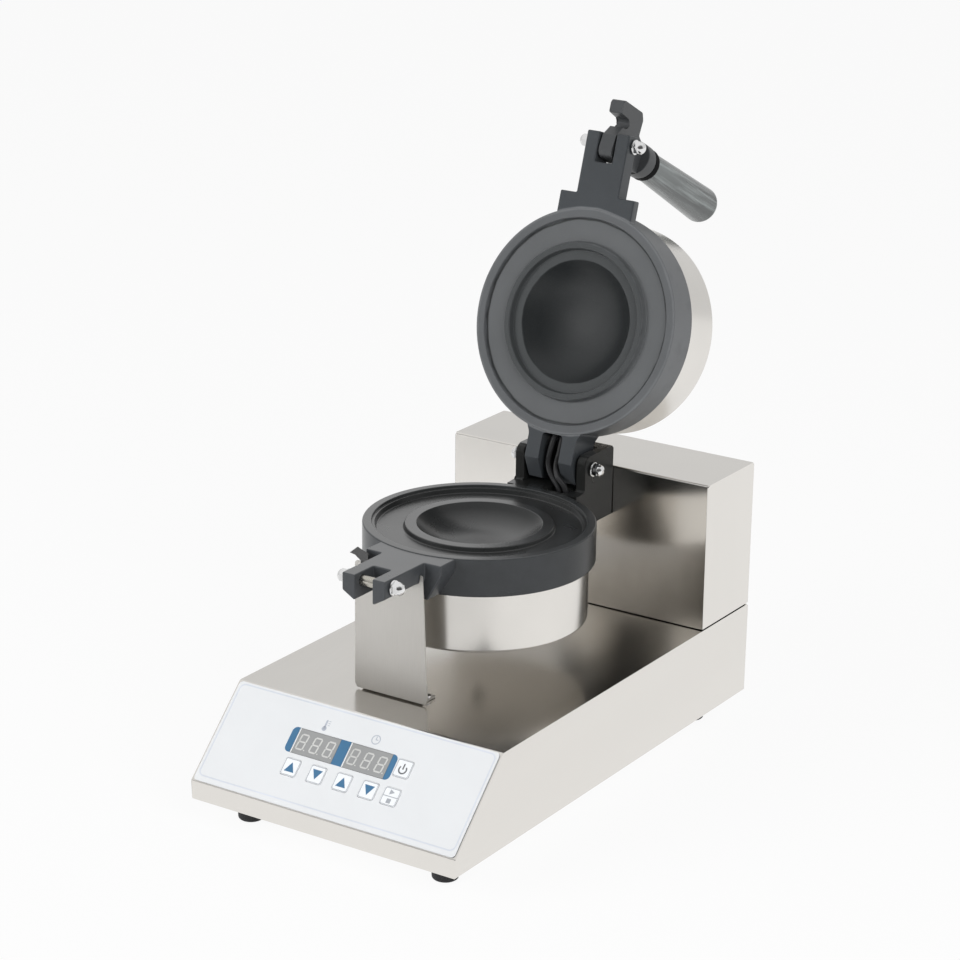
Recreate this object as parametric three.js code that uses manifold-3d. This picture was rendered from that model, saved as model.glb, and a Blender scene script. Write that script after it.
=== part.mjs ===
// Countertop mould iron for closed, filled buns: a stainless base with a sloping control panel,
// a lower heated mould carried by a hinge block and a front bracket, and an upper heated mould
// that swings up and locks with a hooked lever. Millimetres, +X right, +Y to the back, +Z up.
// The origin is on the surface that the feet stand on, under the middle of the whole object.

import * as THREE from 'three';
import { mergeVertices } from 'three/addons/utils/BufferGeometryUtils.js';
import Module from 'manifold-3d';

const wasm = await Module();
wasm.setup();

// Driving sizes of the case
const base_width = 240;
const base_depth = 428.5;
const base_height = 76;
const front_strip_height = 15;
const panel_angle = THREE.MathUtils.degToRad(45);
const sheet = 1.2;
const foot_height = 20.8;
const foot_radius = 10;
const foot_top_radius = 10.8;
const foot_side_inset = 30.9;
const foot_end_inset = 33.3;
const foot_stem_radius = 3;
const housing_depth = 75.3;
const housing_height = 121.5;
const housing_seam = 0.8;
const cable_hole_width = 60;
const cable_hole_depth = 30;

// Driving sizes of the two moulds
const mould_radius = 90.3;
const mould_thickness = 30;
const drum_radius = 85;
const drum_end = 77;
const drum_wall = 1;
const drum_corner = 1.5;
const under_drum = 35.1;
const rim_width = 7.4;
const rim_proud = 0.6;
const edge_round = 1.2;
const lower_recess = 5.8;
const lower_ledge_depth = 2;
const lower_ledge_width = 2.2;
const lower_ring_outer = 57.5;
const lower_ring_top = 2.3;
const lower_bowl_radius = 48.8;
const upper_recess = 3;
const upper_ring_outer = 62.8;
const upper_ring_inner = 57.9;
const upper_ring_proud = 2;
const upper_step = 2.9;
const upper_bowl_radius = 49.2;
const bowl_depth = 17;
const wall_draft = 1.1;

// Driving sizes of the hinge
const hinge_setback = 32.5;
const hinge_reach = 112.4;
const hinge_rise = 16.2;
const lid_open = THREE.MathUtils.degToRad(107.8);
const pin_radius = 4;
const lug_outer = 22;
const lug_slot = 9.4;
const lug_root = 5;
const lug_corner = 3;
const lug_heel = THREE.MathUtils.degToRad(10);
const ear_thickness = 8;
const ear_rise = 11.7;
const ear_front = 10.7;
const ear_corner = 6;
const ear_gap = 2.6;
const hinge_head_radius = 6;
const hinge_head = 2.4;
const ear_foot_reach = 23.5;
const deck_thickness = 8;
const web_hole_radius = 8;
const lead_radius = 2.3;
const lead_hole_width = 18.5;
const lead_hole_depth = 13;
const lead_hole_x = 11.6;
const lead_hole_ahead = 14;
const lead_drop = 33;
const passage_radius = 6.4;
const passage_x = 2.5;

// Driving sizes of the tongues and their shoulders
const tongue_half = 19.3;
const lower_tongue_reach = 153.3;
const upper_tongue_reach = 151.3;
const tongue_thickness = 19.5;
const tongue_side = 13.7;
const tongue_chamfer = 10;
const tongue_corner = 2;
const fork_half = 7.8;
const fork_depth = 24;
const shoulder_half = 34;
const lower_shoulder_reach = 102.8;
const upper_shoulder_reach = 101.2;
const shoulder_side = 8;
const shoulder_foot_half = 22;
const shoulder_bend = 8;
const pin_reach = 143.3;
const catch_drop = 7.8;
const lever_rise = 10.6;

// Driving sizes of the latch lever and its handle
const lever_swing = THREE.MathUtils.degToRad(104);
const lever_half = 6;
const hub_radius = 9;
const hub_rise = 12.8;
const mouth_clearance = 0.4;
const mouth_depth = 1.5;
const mouth_round_share = 0.9;
const hook_under = 12.8;
const hook_tip = 10.6;
const hook_tip_slope = 2.4;
const hook_arm = 19.5;
const hook_chamfer = 5;
const neck_low = 17.5;
const neck_back = 5.5;
const neck_half_share = 0.7;
const handle_tilt = THREE.MathUtils.degToRad(3.6);
const handle_offset = -1.3;
const collar_start = 44;
const collar_length = 8;
const collar_radius = 14;
const collar_chamfer = 1.4;
const washer_length = 5.4;
const washer_radius = 12.8;
const grip_length = 112.5;
const grip_root_radius = 12.3;
const grip_end_radius = 15.3;
const grip_dome = 6;
const stud_radius = 4;
const stud_in_lever = 16;
const stud_in_grip = 70;

// Driving sizes of nuts, screws and heaters
const nut_radius = 5.6;
const nut_length = 8.2;
const nut_flange = 1.5;
const nut_flange_radius = 6;
const nut_hex_share = 0.55;
const thread_radius = 3;
const screw_radius = 2.5;
const screw_head_radius = 4.6;
const screw_head_height = 2.6;
const screw_crown_share = 0.6;
const screw_grip = 6;
const hinge_screw_radius = 3;
const hinge_screw_head = 5.4;
const hinge_screw_length = 9;
const hinge_screw_x = 17;
const hinge_screw_drop = 1;
const heater_ring_radius = 66;
const heater_tube = 4;
const heater_arc = THREE.MathUtils.degToRad(316);
const heater_terminal = 14;
const heater_dip_share = 0.7;
const clamp_radius = 74;
const clamp_thickness = 2;
const clamp_bend = 5;
const clamp_window = 13;
const clamp_end_room = 20;
const drum_bolt_radius = 3;
const drum_bolt_head = 6;
const drum_bolt_head_height = 4;
const drum_bolt_thread = 6;
const probe_radius = 2.2;
const probe_length = 22;
const probe_collar_radius = 4.5;
const probe_collar_height = 5;
const probe_place = 38;

// Driving sizes of the front bracket
const bracket_sheet = 1.5;
const bracket_ahead = 7;
const bracket_left = 38.9;
const bracket_right = 27;
const bracket_taper = 5;
const bracket_top_drop = 8;
const bracket_foot = 19;
const bracket_corner = 5;
const bracket_screw_inset = 9.5;
const bracket_screw_back = 12;
const curl_reach = 17.2;
const curl_top_reach = 10.3;
const curl_notch_reach = 7.4;
const curl_foot_reach = 6.8;
const curl_tip_drop = 3.1;
const curl_rise = 2.7;
const curl_notch_rise = 1.3;
const curl_foot_drop = 1;
const curl_sag = 1.6;

// Driving sizes of the control panel, with x to the right and s up the slope
const overlay_side = 1.6;
const overlay_end = 0.9;
const overlay_film = 0.5;
const overlay_corner = 3;
const key_size = 13.8;
const key_corner = 1.7;
const key_row = 31;
const key_first_x = -42.2;
const key_pitch = 23.6;
const key_names = ['temp_up', 'temp_down', 'time_up', 'time_down'];
const key_side_x = 48.4;
const key_power_s = 53.9;
const key_proud = 0.35;
const key_travel = 0.5;
const key_flange = 1.4;
const key_flange_thickness = 1.2;
const switch_height = 3.2;
const switch_radius = 2;
const window_width = 37.4;
const window_height = 20;
const window_s = 52.3;
const window_left_x = -30.3;
const window_right_x = 16.7;
const board_thickness = 1.6;
const board_margin = 9;
const stud_boss_radius = 3;

// Driving sizes of what stands in the base and the rear housing
const vent_count = 7;
const vent_width = 4;
const vent_length = 60;
const vent_pitch = 14;
const vent_corner = 1.9;
const relay_width = 45;
const relay_depth = 58;
const relay_height = 28;
const relay_fin = 3;
const relay_y_share = 0.45;
const terminal_width = 70;
const terminal_depth = 18;
const terminal_height = 16;
const terminal_rise = 60;
const terminal_ways = 5;
const terminal_groove = 2;
const terminal_groove_depth = 5;
const inlet_width = 48;
const inlet_height = 22;
const inlet_flange = 2.5;
const inlet_body_width = 27;
const inlet_body_height = 19.5;
const inlet_body_depth = 24;
const inlet_socket_width = 23.6;
const inlet_socket_height = 16;
const inlet_socket_depth = 17;
const inlet_pin_width = 2;
const inlet_pin_height = 4;
const inlet_pin_length = 10;
const inlet_pin_spacing = 7;
const inlet_pin_drop = 2;
const inlet_side_inset = 58;
const inlet_rise = 32;

// Clearances and rounding of the facets
const gap = 0.3;
const running_gap = 0.25;
const overrun = 2;
const round_steps = 42;
const middle_steps = 16;
const small_steps = 12;
const thread_sides = 8;
const fillet_steps = 2;
const bowl_steps = 5;
const heater_steps = 30;
const lead_steps = 26;

// Places worked out from the sizes above
const housing_front = base_depth - housing_depth;
const hinge_y = housing_front - hinge_setback;
const mould_y = hinge_y - hinge_reach;
const parting_z = base_height + under_drum + drum_end;
const hinge_z = parting_z + hinge_rise;
const rim_inner = mould_radius - rim_width;
const pin_y = mould_y - pin_reach;
const catch_z = parting_z - catch_drop;
const lever_z = parting_z + lever_rise;
const shoulder_y = mould_y - lower_shoulder_reach;
const ear_inner = lug_outer + ear_gap;
const ear_outer = ear_inner + ear_thickness;
const panel_rise = base_height - front_strip_height;
const panel_run = panel_rise / Math.tan(panel_angle);
const panel_length = panel_rise / Math.sin(panel_angle);
const face_z = gap + rim_proud;
const inlet_x = base_width / 2 - inlet_side_inset;

// Turns a closed geometry into a solid for joining and cutting
function solid(geometry) {
  const bare = geometry.clone();
  bare.deleteAttribute('normal');
  bare.deleteAttribute('uv');
  const merged = mergeVertices(bare);
  return new wasm.Manifold(new wasm.Mesh({
    numProp: 3,
    vertProperties: new Float32Array(merged.attributes.position.array),
    triVerts: new Uint32Array(merged.index.array),
  }));
}

// Turns a solid back into a geometry
function surface(body) {
  const mesh = body.getMesh();
  const geometry = new THREE.BufferGeometry();
  geometry.setAttribute('position', new THREE.BufferAttribute(mesh.vertProperties, 3));
  geometry.setIndex(new THREE.BufferAttribute(mesh.triVerts, 1));
  return geometry;
}

// Joins several solids, and cuts several from one
const joined = (first, ...others) => others.reduce((sum, next) => sum.add(next), first);
const cut = (body, ...tools) => tools.reduce((rest, tool) => rest.subtract(tool), body);

// A box between two corners
function block(low, high) {
  const size = high.map((value, axis) => value - low[axis]);
  const centre = high.map((value, axis) => (value + low[axis]) / 2);
  return solid(new THREE.BoxGeometry(...size).translate(...centre));
}

// A closed outline through corners [u, v, radius], each rounded by an arc of its radius
function outline(corners) {
  const points = [];
  corners.forEach(([u, v, radius = 0], index) => {
    const corner = new THREE.Vector2(u, v);
    const before = corners[(index + corners.length - 1) % corners.length];
    const after = corners[(index + 1) % corners.length];
    const back = new THREE.Vector2(before[0], before[1]).sub(corner).normalize();
    const ahead = new THREE.Vector2(after[0], after[1]).sub(corner).normalize();
    const half = Math.acos(THREE.MathUtils.clamp(back.dot(ahead), -1, 1)) / 2;
    if (radius === 0) {
      points.push(corner);
      return;
    }
    const centre = back.clone().add(ahead).normalize().multiplyScalar(radius / Math.sin(half)).add(corner);
    const start = back.clone().multiplyScalar(radius / Math.tan(half)).add(corner).sub(centre);
    const end = ahead.clone().multiplyScalar(radius / Math.tan(half)).add(corner).sub(centre);
    const turn = Math.atan2(start.cross(end), start.dot(end));
    for (let step = 0; step <= fillet_steps; step += 1) {
      const spoke = start.clone().rotateAround(new THREE.Vector2(), turn * step / fillet_steps);
      points.push(spoke.add(centre));
    }
  });
  return new THREE.Shape(points);
}

// A rectangle with rounded corners, by its middle and its size
function rounded(u, v, width, height, radius) {
  return outline([
    [u - width / 2, v - height / 2, radius],
    [u + width / 2, v - height / 2, radius],
    [u + width / 2, v + height / 2, radius],
    [u - width / 2, v + height / 2, radius],
  ]);
}

// Outlines pushed out along an axis: yz along X, xz along Y, xy along Z
const directions = {
  x: new THREE.Matrix4().makeBasis(
    new THREE.Vector3(0, 1, 0), new THREE.Vector3(0, 0, 1), new THREE.Vector3(1, 0, 0)),
  y: new THREE.Matrix4().makeBasis(
    new THREE.Vector3(1, 0, 0), new THREE.Vector3(0, 0, 1), new THREE.Vector3(0, -1, 0)),
  z: new THREE.Matrix4(),
};

function prism(shape, axis, from, to) {
  const geometry = new THREE.ExtrudeGeometry(shape, {
    depth: to - from,
    bevelEnabled: false,
    curveSegments: small_steps,
  });
  const start = axis === 'y' ? -to : from;
  geometry.translate(0, 0, start);
  return solid(geometry.applyMatrix4(directions[axis]));
}

// A round bar along an axis through a middle point given by its other two coordinates
function bar(radius, axis, from, to, middle, steps = small_steps) {
  const geometry = new THREE.CylinderGeometry(radius, radius, to - from, steps);
  geometry.translate(0, (from + to) / 2, 0);
  if (axis === 'x') geometry.rotateZ(-Math.PI / 2).translate(0, middle[0], middle[1]);
  if (axis === 'y') geometry.translate(middle[0], 0, middle[1]);
  if (axis === 'z') geometry.rotateX(Math.PI / 2).translate(middle[0], middle[1], 0);
  return solid(geometry);
}

// A turned body about Z from a profile of [radius, height]
function turned(profile, steps = round_steps) {
  const points = profile.map(([radius, height]) => new THREE.Vector2(radius, height));
  return solid(new THREE.LatheGeometry(points, steps).rotateX(Math.PI / 2));
}

// A round tube along a curve
function tube(radius, curve, steps, sides) {
  const circle = [...Array(sides).keys()].map((side) => {
    const angle = 2 * Math.PI * side / sides;
    return new THREE.Vector2(radius * Math.cos(angle), radius * Math.sin(angle));
  });
  return new THREE.ExtrudeGeometry(new THREE.Shape(circle), { steps, extrudePath: curve });
}

// Materials
const finish = (color, roughness, metalness) =>
  new THREE.MeshStandardMaterial({ color, roughness, metalness });
const stainless = finish(0xb9b6b0, 0.35, 1);
const cast_black = finish(0x3f4143, 0.55, 0.2);
const bakelite = finish(0x2c2d2f, 0.35, 0);
const chrome = finish(0xd8d8d8, 0.12, 1);
const steel = finish(0x9b9b98, 0.4, 1);
const rubber = finish(0x1a1a1b, 0.85, 0);
const film = finish(0xeef0f3, 0.45, 0);
const lens = finish(0xa5a7a9, 0.2, 0);
const key_film = finish(0xf3f4f6, 0.4, 0);
const circuit = finish(0x2f6b3f, 0.5, 0);
const led_body = finish(0xb8b9ba, 0.4, 0);
const plastic_black = finish(0x232425, 0.45, 0);
const sleeve = finish(0x1c1c1d, 0.5, 0);
const ceramic = finish(0xe6e1d6, 0.5, 0);

// The groups: everything, the panel, the lid in its closed place, and the lever on the lid
const machine = new THREE.Group();
const panel = new THREE.Group();
const hinge = new THREE.Group();
const lid = new THREE.Group();
const lever = new THREE.Group();
machine.add(panel, hinge);
hinge.add(lid);
lid.add(lever);
panel.position.set(0, 0, front_strip_height);
panel.rotation.x = panel_angle;
hinge.position.set(0, hinge_y, hinge_z);
hinge.rotation.x = -lid_open;
lid.position.set(0, -hinge_y, -hinge_z);
lever.position.set(0, pin_y, lever_z);
lever.rotation.x = -lever_swing;

function add(group, name, body, material) {
  const mesh = new THREE.Mesh(body.isBufferGeometry ? body : surface(body), material);
  mesh.name = name;
  group.add(mesh);
}

// Moves a solid that is drawn in the panel's own frame to the case
function on_case(body) {
  const pose = new THREE.Matrix4().makeRotationX(panel_angle);
  pose.setPosition(0, 0, front_strip_height);
  return body.transform(pose.elements);
}

// The places of the keys and windows on the panel
const keys = [
  ...key_names.map((name, index) => (
    { name: `key_${name}`, x: key_first_x + index * key_pitch, s: key_row })),
  { name: 'key_power', x: key_side_x, s: key_power_s },
  { name: 'key_start', x: key_side_x, s: key_row },
];
const windows = [
  { name: 'left', x: window_left_x },
  { name: 'right', x: window_right_x },
];
const film_top = gap + overlay_film;
const flange_top = -sheet - gap;
const flange_bottom = flange_top - key_flange_thickness;
const switch_top = flange_bottom - key_travel - gap;
const board_top = switch_top - switch_height;
const board_left = window_left_x - window_width / 2 - board_margin;
const board_right = key_side_x + key_size / 2 + board_margin;
const board_low = key_row - key_size / 2 - board_margin;
const board_high = window_s + window_height / 2 + board_margin;

// Openings for the keys and windows, with a clearance all round
function panel_openings(from, to) {
  const key_holes = keys.map(({ x, s }) =>
    prism(rounded(x, s, key_size + 2 * gap, key_size + 2 * gap, key_corner + gap), 'z', from, to));
  const window_holes = windows.map(({ x }) =>
    prism(rounded(x, window_s, window_width + 2 * gap, window_height + 2 * gap, 0), 'z', from, to));
  return [...key_holes, ...window_holes];
}

// The four studs that hold the control board behind the slope
const board_studs = [board_left, board_right].flatMap((x) =>
  [board_low, board_high].map((s) => [
    x + Math.sign(window_left_x - x) * 2 * stud_boss_radius,
    s + Math.sign(window_s - s) * 2 * stud_boss_radius,
  ]));

// Case of folded sheet, open below
function base_housing() {
  const outer = outline([
    [0, 0],
    [base_depth, 0],
    [base_depth, base_height],
    [panel_run, base_height],
    [0, front_strip_height],
  ]);
  const slope_shift = sheet / Math.cos(panel_angle);
  const inner_height = base_height - sheet;
  const slope_at = (y) => front_strip_height + y * Math.tan(panel_angle) - slope_shift;
  const inner_run = (inner_height - front_strip_height + slope_shift) / Math.tan(panel_angle);
  const inner = outline([
    [sheet, -overrun],
    [base_depth - sheet, -overrun],
    [base_depth - sheet, inner_height],
    [inner_run, inner_height],
    [sheet, slope_at(sheet)],
  ]);
  const half = base_width / 2;
  const shell = cut(
    prism(outer, 'x', -half, half),
    prism(inner, 'x', sheet - half, half - sheet),
  );
  const cable_hole = block(
    [-cable_hole_width / 2, base_depth - housing_depth / 2 - cable_hole_depth / 2, inner_height - overrun],
    [cable_hole_width / 2, base_depth - housing_depth / 2 + cable_hole_depth / 2, base_height + overrun],
  );
  const bracket_holes = bracket_screws.map(({ x }) =>
    bar(screw_radius + gap, 'z', inner_height - overrun, base_height + overrun, [x, bracket_screw_y]));
  const studs = board_studs.map(([x, s]) =>
    on_case(bar(stud_boss_radius, 'z', board_top + gap, -sheet / 2, [x, s])));
  const openings = panel_openings(-sheet - overrun, overrun).map(on_case);
  return joined(cut(shell, cable_hole, ...bracket_holes, ...openings), ...studs);
}

// Bottom cover with air slots and the holes of the feet
const feet = [
  { name: 'front_left', side: -1, y: foot_end_inset },
  { name: 'front_right', side: 1, y: foot_end_inset },
  { name: 'rear_left', side: -1, y: base_depth - foot_end_inset },
  { name: 'rear_right', side: 1, y: base_depth - foot_end_inset },
].map((foot) => ({ ...foot, x: foot.side * (base_width / 2 - foot_side_inset) }));

function base_plate() {
  const half = base_width / 2 - sheet - gap;
  const plate = block([-half, sheet + gap, 0], [half, base_depth - sheet - gap, sheet]);
  const holes = feet.map(({ x, y }) =>
    bar(foot_stem_radius + gap, 'z', -overrun, sheet + overrun, [x, y]));
  const vents = [...Array(vent_count).keys()].map((index) => {
    const y = base_depth / 2 + (index - (vent_count - 1) / 2) * vent_pitch;
    return prism(rounded(0, y, vent_length, vent_width, vent_corner), 'z', -overrun, sheet + overrun);
  });
  return cut(plate, ...holes, ...vents);
}

function foot(x, y) {
  const stem_top = sheet + foot_stem_radius;
  const body = turned([
    [0, -foot_height],
    [foot_radius - edge_round, -foot_height],
    [foot_radius, edge_round - foot_height],
    [foot_top_radius, -gap],
    [foot_stem_radius, -gap],
    [foot_stem_radius, stem_top],
    [0, stem_top],
  ], middle_steps);
  return body.translate([x, y, 0]);
}

// Box of folded sheet on the back of the base, open below
const housing_bottom = base_height + housing_seam;
const housing_top = base_height + housing_height + housing_seam;
const hinge_screw_z = hinge_z - hinge_rise - hinge_screw_drop;
const inlet_z = housing_bottom + inlet_rise;

function rear_housing() {
  const half = base_width / 2;
  const shell = cut(
    block([-half, housing_front, housing_bottom], [half, base_depth, housing_top]),
    block(
      [sheet - half, housing_front + sheet, housing_bottom - overrun],
      [half - sheet, base_depth - sheet, housing_top - sheet],
    ),
  );
  const inlet_hole = prism(
    rounded(inlet_x, inlet_z, inlet_body_width + 2 * gap, inlet_body_height + 2 * gap, 0),
    'y', base_depth - sheet - overrun, base_depth + overrun);
  const screw_holes = [-hinge_screw_x, hinge_screw_x].map((x) => bar(
    hinge_screw_radius + gap, 'y', housing_front - overrun, housing_front + sheet + overrun,
    [x, hinge_screw_z]));
  const lead_hole = bar(
    web_hole_radius, 'y', housing_front - overrun, housing_front + sheet + overrun,
    [lead_hole_x, hinge_z - lead_drop]);
  return cut(shell, inlet_hole, lead_hole, ...screw_holes);
}

// White film on the slope
function control_overlay() {
  const width = base_width - 2 * overlay_side;
  const height = panel_length - 2 * overlay_end;
  const sheet_of_film = prism(
    rounded(0, panel_length / 2, width, height, overlay_corner), 'z', gap, film_top);
  return cut(sheet_of_film, ...panel_openings(-overrun, film_top + overrun));
}

// A key: its face in the film, its shank through the sheet and its flange behind
function key(x, s) {
  const face = film_top + key_proud;
  const shank = prism(rounded(x, s, key_size, key_size, key_corner), 'z', flange_bottom, face);
  const wide = key_size + 2 * key_flange;
  const flange = prism(rounded(x, s, wide, wide, key_corner), 'z', flange_bottom, flange_top);
  return joined(shank, flange);
}

const display_window = (x) =>
  prism(rounded(x, window_s, window_width, window_height, 0), 'z', -sheet, film_top);

const display_module = (x) =>
  prism(rounded(x, window_s, window_width, window_height, 0), 'z', board_top + gap, -sheet - gap);

function control_board() {
  const board = block(
    [board_left, board_low, board_top - board_thickness],
    [board_right, board_high, board_top],
  );
  const switches = keys.map(({ x, s }) => bar(
    switch_radius, 'z', board_top - board_thickness / 2, switch_top, [x, s], thread_sides));
  return joined(board, ...switches);
}

// Relay with fins on the bottom cover
function relay() {
  const y = base_depth * relay_y_share;
  const low = sheet + gap;
  const body = block(
    [-relay_width / 2, y - relay_depth / 2, low],
    [relay_width / 2, y + relay_depth / 2, low + relay_height],
  );
  const fin_count = Math.floor(relay_width / (2 * relay_fin)) - 1;
  const grooves = [...Array(fin_count).keys()].map((index) => {
    const x = -relay_width / 2 + (2 * index + 1.5) * relay_fin;
    return block(
      [x, y - relay_depth / 2 - overrun, low + relay_height / 2],
      [x + relay_fin, y + relay_depth / 2 + overrun, low + relay_height + overrun],
    );
  });
  return cut(body, ...grooves);
}

// Row of terminals inside the rear housing, on its back wall
function terminal_block() {
  const back = base_depth - sheet - gap;
  const front = back - terminal_depth;
  const low = housing_bottom + terminal_rise;
  const body = block(
    [-terminal_width / 2, front, low],
    [terminal_width / 2, back, low + terminal_height],
  );
  const way = terminal_width / terminal_ways;
  const grooves = [...Array(terminal_ways - 1).keys()].map((index) => {
    const x = -terminal_width / 2 + (index + 1) * way;
    return block(
      [x - terminal_groove / 2, front - overrun, low - overrun],
      [x + terminal_groove / 2, front + terminal_groove_depth, low + terminal_height + overrun],
    );
  });
  return cut(body, ...grooves);
}

// Three-pin power inlet in the back wall
function power_inlet() {
  const face = base_depth + gap + inlet_flange;
  const flange = prism(
    rounded(inlet_x, inlet_z, inlet_width, inlet_height, overlay_corner),
    'y', base_depth + gap, face);
  const body = prism(
    rounded(inlet_x, inlet_z, inlet_body_width, inlet_body_height, 0),
    'y', face - inlet_body_depth, base_depth + gap + inlet_flange / 2);
  const half_width = inlet_socket_width / 2;
  const half_height = inlet_socket_height / 2;
  const bevel = inlet_socket_height / 4;
  const socket = prism(outline([
    [inlet_x - half_width, inlet_z - half_height],
    [inlet_x + half_width, inlet_z - half_height],
    [inlet_x + half_width, inlet_z + half_height - bevel],
    [inlet_x + half_width - bevel, inlet_z + half_height],
    [inlet_x - half_width + bevel, inlet_z + half_height],
    [inlet_x - half_width, inlet_z + half_height - bevel],
  ]), 'y', face - inlet_socket_depth, face + overrun);
  const floor = face - inlet_socket_depth;
  const pins = [-1, 0, 1].map((place) => {
    const x = inlet_x + place * inlet_pin_spacing;
    const z = inlet_z + (place === 0 ? inlet_pin_drop : -inlet_pin_drop);
    return block(
      [x - inlet_pin_width / 2, floor - gap, z - inlet_pin_height / 2],
      [x + inlet_pin_width / 2, floor + inlet_pin_length, z + inlet_pin_height / 2],
    );
  });
  return joined(cut(joined(flange, body), socket), ...pins);
}

// The bowl's curve from its edge to its middle, deepest at the middle
function bowl_curve(radius, edge_height) {
  return [...Array(bowl_steps).keys()].map((step) => {
    const share = 1 - (step + 1) / bowl_steps;
    return [radius * share, edge_height - bowl_depth * (1 - share ** 3)];
  });
}

// Plates drawn face up with their face at height 0
function lower_plate_disc() {
  const recess = lower_recess;
  return turned([
    [0, -mould_thickness],
    [mould_radius - edge_round, -mould_thickness],
    [mould_radius, edge_round - mould_thickness],
    [mould_radius, -edge_round],
    [mould_radius - edge_round, 0],
    [rim_inner + edge_round, 0],
    [rim_inner, -edge_round],
    [rim_inner, -lower_ledge_depth],
    [rim_inner - lower_ledge_width, -lower_ledge_depth],
    [rim_inner - lower_ledge_width - wall_draft, -recess],
    [lower_ring_outer + wall_draft, -recess],
    [lower_ring_outer, -lower_ring_top - edge_round],
    [lower_ring_outer - edge_round, -lower_ring_top],
    [lower_bowl_radius, -lower_ring_top],
    ...bowl_curve(lower_bowl_radius, -lower_ring_top),
  ]);
}

function upper_plate_disc() {
  return turned([
    [0, -mould_thickness],
    [mould_radius - edge_round, -mould_thickness],
    [mould_radius, edge_round - mould_thickness],
    [mould_radius, -edge_round],
    [mould_radius - edge_round, 0],
    [rim_inner + edge_round, 0],
    [rim_inner, -edge_round],
    [rim_inner - wall_draft, -upper_recess],
    [upper_ring_outer + wall_draft, -upper_recess],
    [upper_ring_outer, upper_ring_proud - edge_round],
    [upper_ring_outer - edge_round, upper_ring_proud],
    [upper_ring_inner + edge_round, upper_ring_proud],
    [upper_ring_inner, upper_ring_proud - edge_round],
    [upper_ring_inner - wall_draft, -upper_step],
    [upper_bowl_radius, -upper_step],
    ...bowl_curve(upper_bowl_radius, -upper_step),
  ]);
}

// Forked tongue and shoulder, drawn with their face at height 0 and the plate below it
function tongue_and_shoulder(tongue_reach, shoulder_reach) {
  const inner_y = mould_y - rim_inner;
  const tongue_section = outline([
    [-tongue_half, 0, tongue_corner / 2],
    [-tongue_half, -tongue_side, tongue_corner],
    [tongue_chamfer - tongue_half, -tongue_thickness, tongue_corner],
    [tongue_half - tongue_chamfer, -tongue_thickness, tongue_corner],
    [tongue_half, -tongue_side, tongue_corner],
    [tongue_half, 0, tongue_corner / 2],
  ]);
  const foot_depth = mould_thickness - face_z;
  const shoulder_section = outline([
    [-shoulder_half, 0, tongue_corner / 2],
    [-shoulder_half, -shoulder_side, shoulder_bend],
    [-shoulder_foot_half, -foot_depth],
    [shoulder_foot_half, -foot_depth],
    [shoulder_half, -shoulder_side, shoulder_bend],
    [shoulder_half, 0, tongue_corner / 2],
  ]);
  const tip_y = mould_y - tongue_reach;
  const fork_end_y = tip_y + fork_depth;
  const tongue = prism(tongue_section, 'y', tip_y, inner_y);
  const shoulder = prism(shoulder_section, 'y', mould_y - shoulder_reach, inner_y);
  const fork_slot = prism(outline([
    [-fork_half, tip_y - overrun],
    [fork_half, tip_y - overrun],
    [fork_half, fork_end_y, tongue_corner],
    [-fork_half, fork_end_y, tongue_corner],
  ]), 'z', -tongue_thickness - overrun, overrun);
  return cut(joined(tongue, shoulder), fork_slot);
}

// Blind holes in the back of a plate for its bolt and its probe
function plate_bores() {
  const back = -mould_thickness;
  return [
    bar(drum_bolt_radius + gap, 'z', back - overrun, back + drum_bolt_thread + gap, [0, 0]),
    bar(probe_radius + gap, 'z', back - overrun, back + probe_length / 2 + gap, [probe_place, probe_place]),
  ];
}

// Lower mould: plate, tongue, shoulder and hinge block in one casting
function lower_mould() {
  const face = parting_z - gap;
  const low = face - mould_thickness;
  const deck = face - rim_proud;
  const back = housing_front - gap;
  const top = hinge_z + ear_rise;
  const inner_y = mould_y + rim_inner;
  const plate = cut(lower_plate_disc(), ...plate_bores()).translate([0, mould_y, face]);
  const front = tongue_and_shoulder(lower_tongue_reach, lower_shoulder_reach).translate([0, 0, deck]);
  const catch_bore = bar(
    pin_radius + gap, 'x', -tongue_half - overrun, tongue_half + overrun, [pin_y, catch_z]);
  const ear_shape = outline([
    [hinge_y - ear_foot_reach, low + ear_corner],
    [hinge_y - ear_foot_reach + ear_corner, low, ear_corner / 2],
    [back, low],
    [back, top, tongue_corner],
    [hinge_y - ear_front, top, ear_corner],
    [hinge_y - ear_front, deck, tongue_corner],
    [hinge_y - ear_foot_reach, deck],
  ]);
  const ears = [-1, 1].map((side) => {
    const [from, to] = side < 0 ? [-ear_outer, -ear_inner] : [ear_inner, ear_outer];
    return prism(ear_shape, 'x', from, to);
  });
  const deck_plate = block(
    [-ear_inner - gap, inner_y, deck - deck_thickness],
    [ear_inner + gap, back, deck],
  );
  const bore = bar(pin_radius + gap, 'x', -ear_outer - overrun, ear_outer + overrun, [hinge_y, hinge_z]);
  const lead_hole = prism(rounded(
    lead_hole_x, hinge_y - lead_hole_ahead, lead_hole_width, lead_hole_depth, tongue_corner,
  ), 'z', deck - deck_thickness - overrun, deck + overrun);
  const web_hole = bar(
    web_hole_radius, 'y', hinge_y, back + overrun, [lead_hole_x, hinge_z - lead_drop]);
  const screw_holes = [-hinge_screw_x, hinge_screw_x].map((x) => bar(
    hinge_screw_radius + gap, 'y', back - hinge_screw_length - gap, back + overrun, [x, hinge_screw_z]));
  const casting = joined(plate, ...ears, deck_plate, hinge_web(low, back, top));
  const body = joined(casting, cut(front, turned_room()));
  return cut(body, catch_bore, bore, lead_hole, web_hole, ...screw_holes);
}

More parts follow.
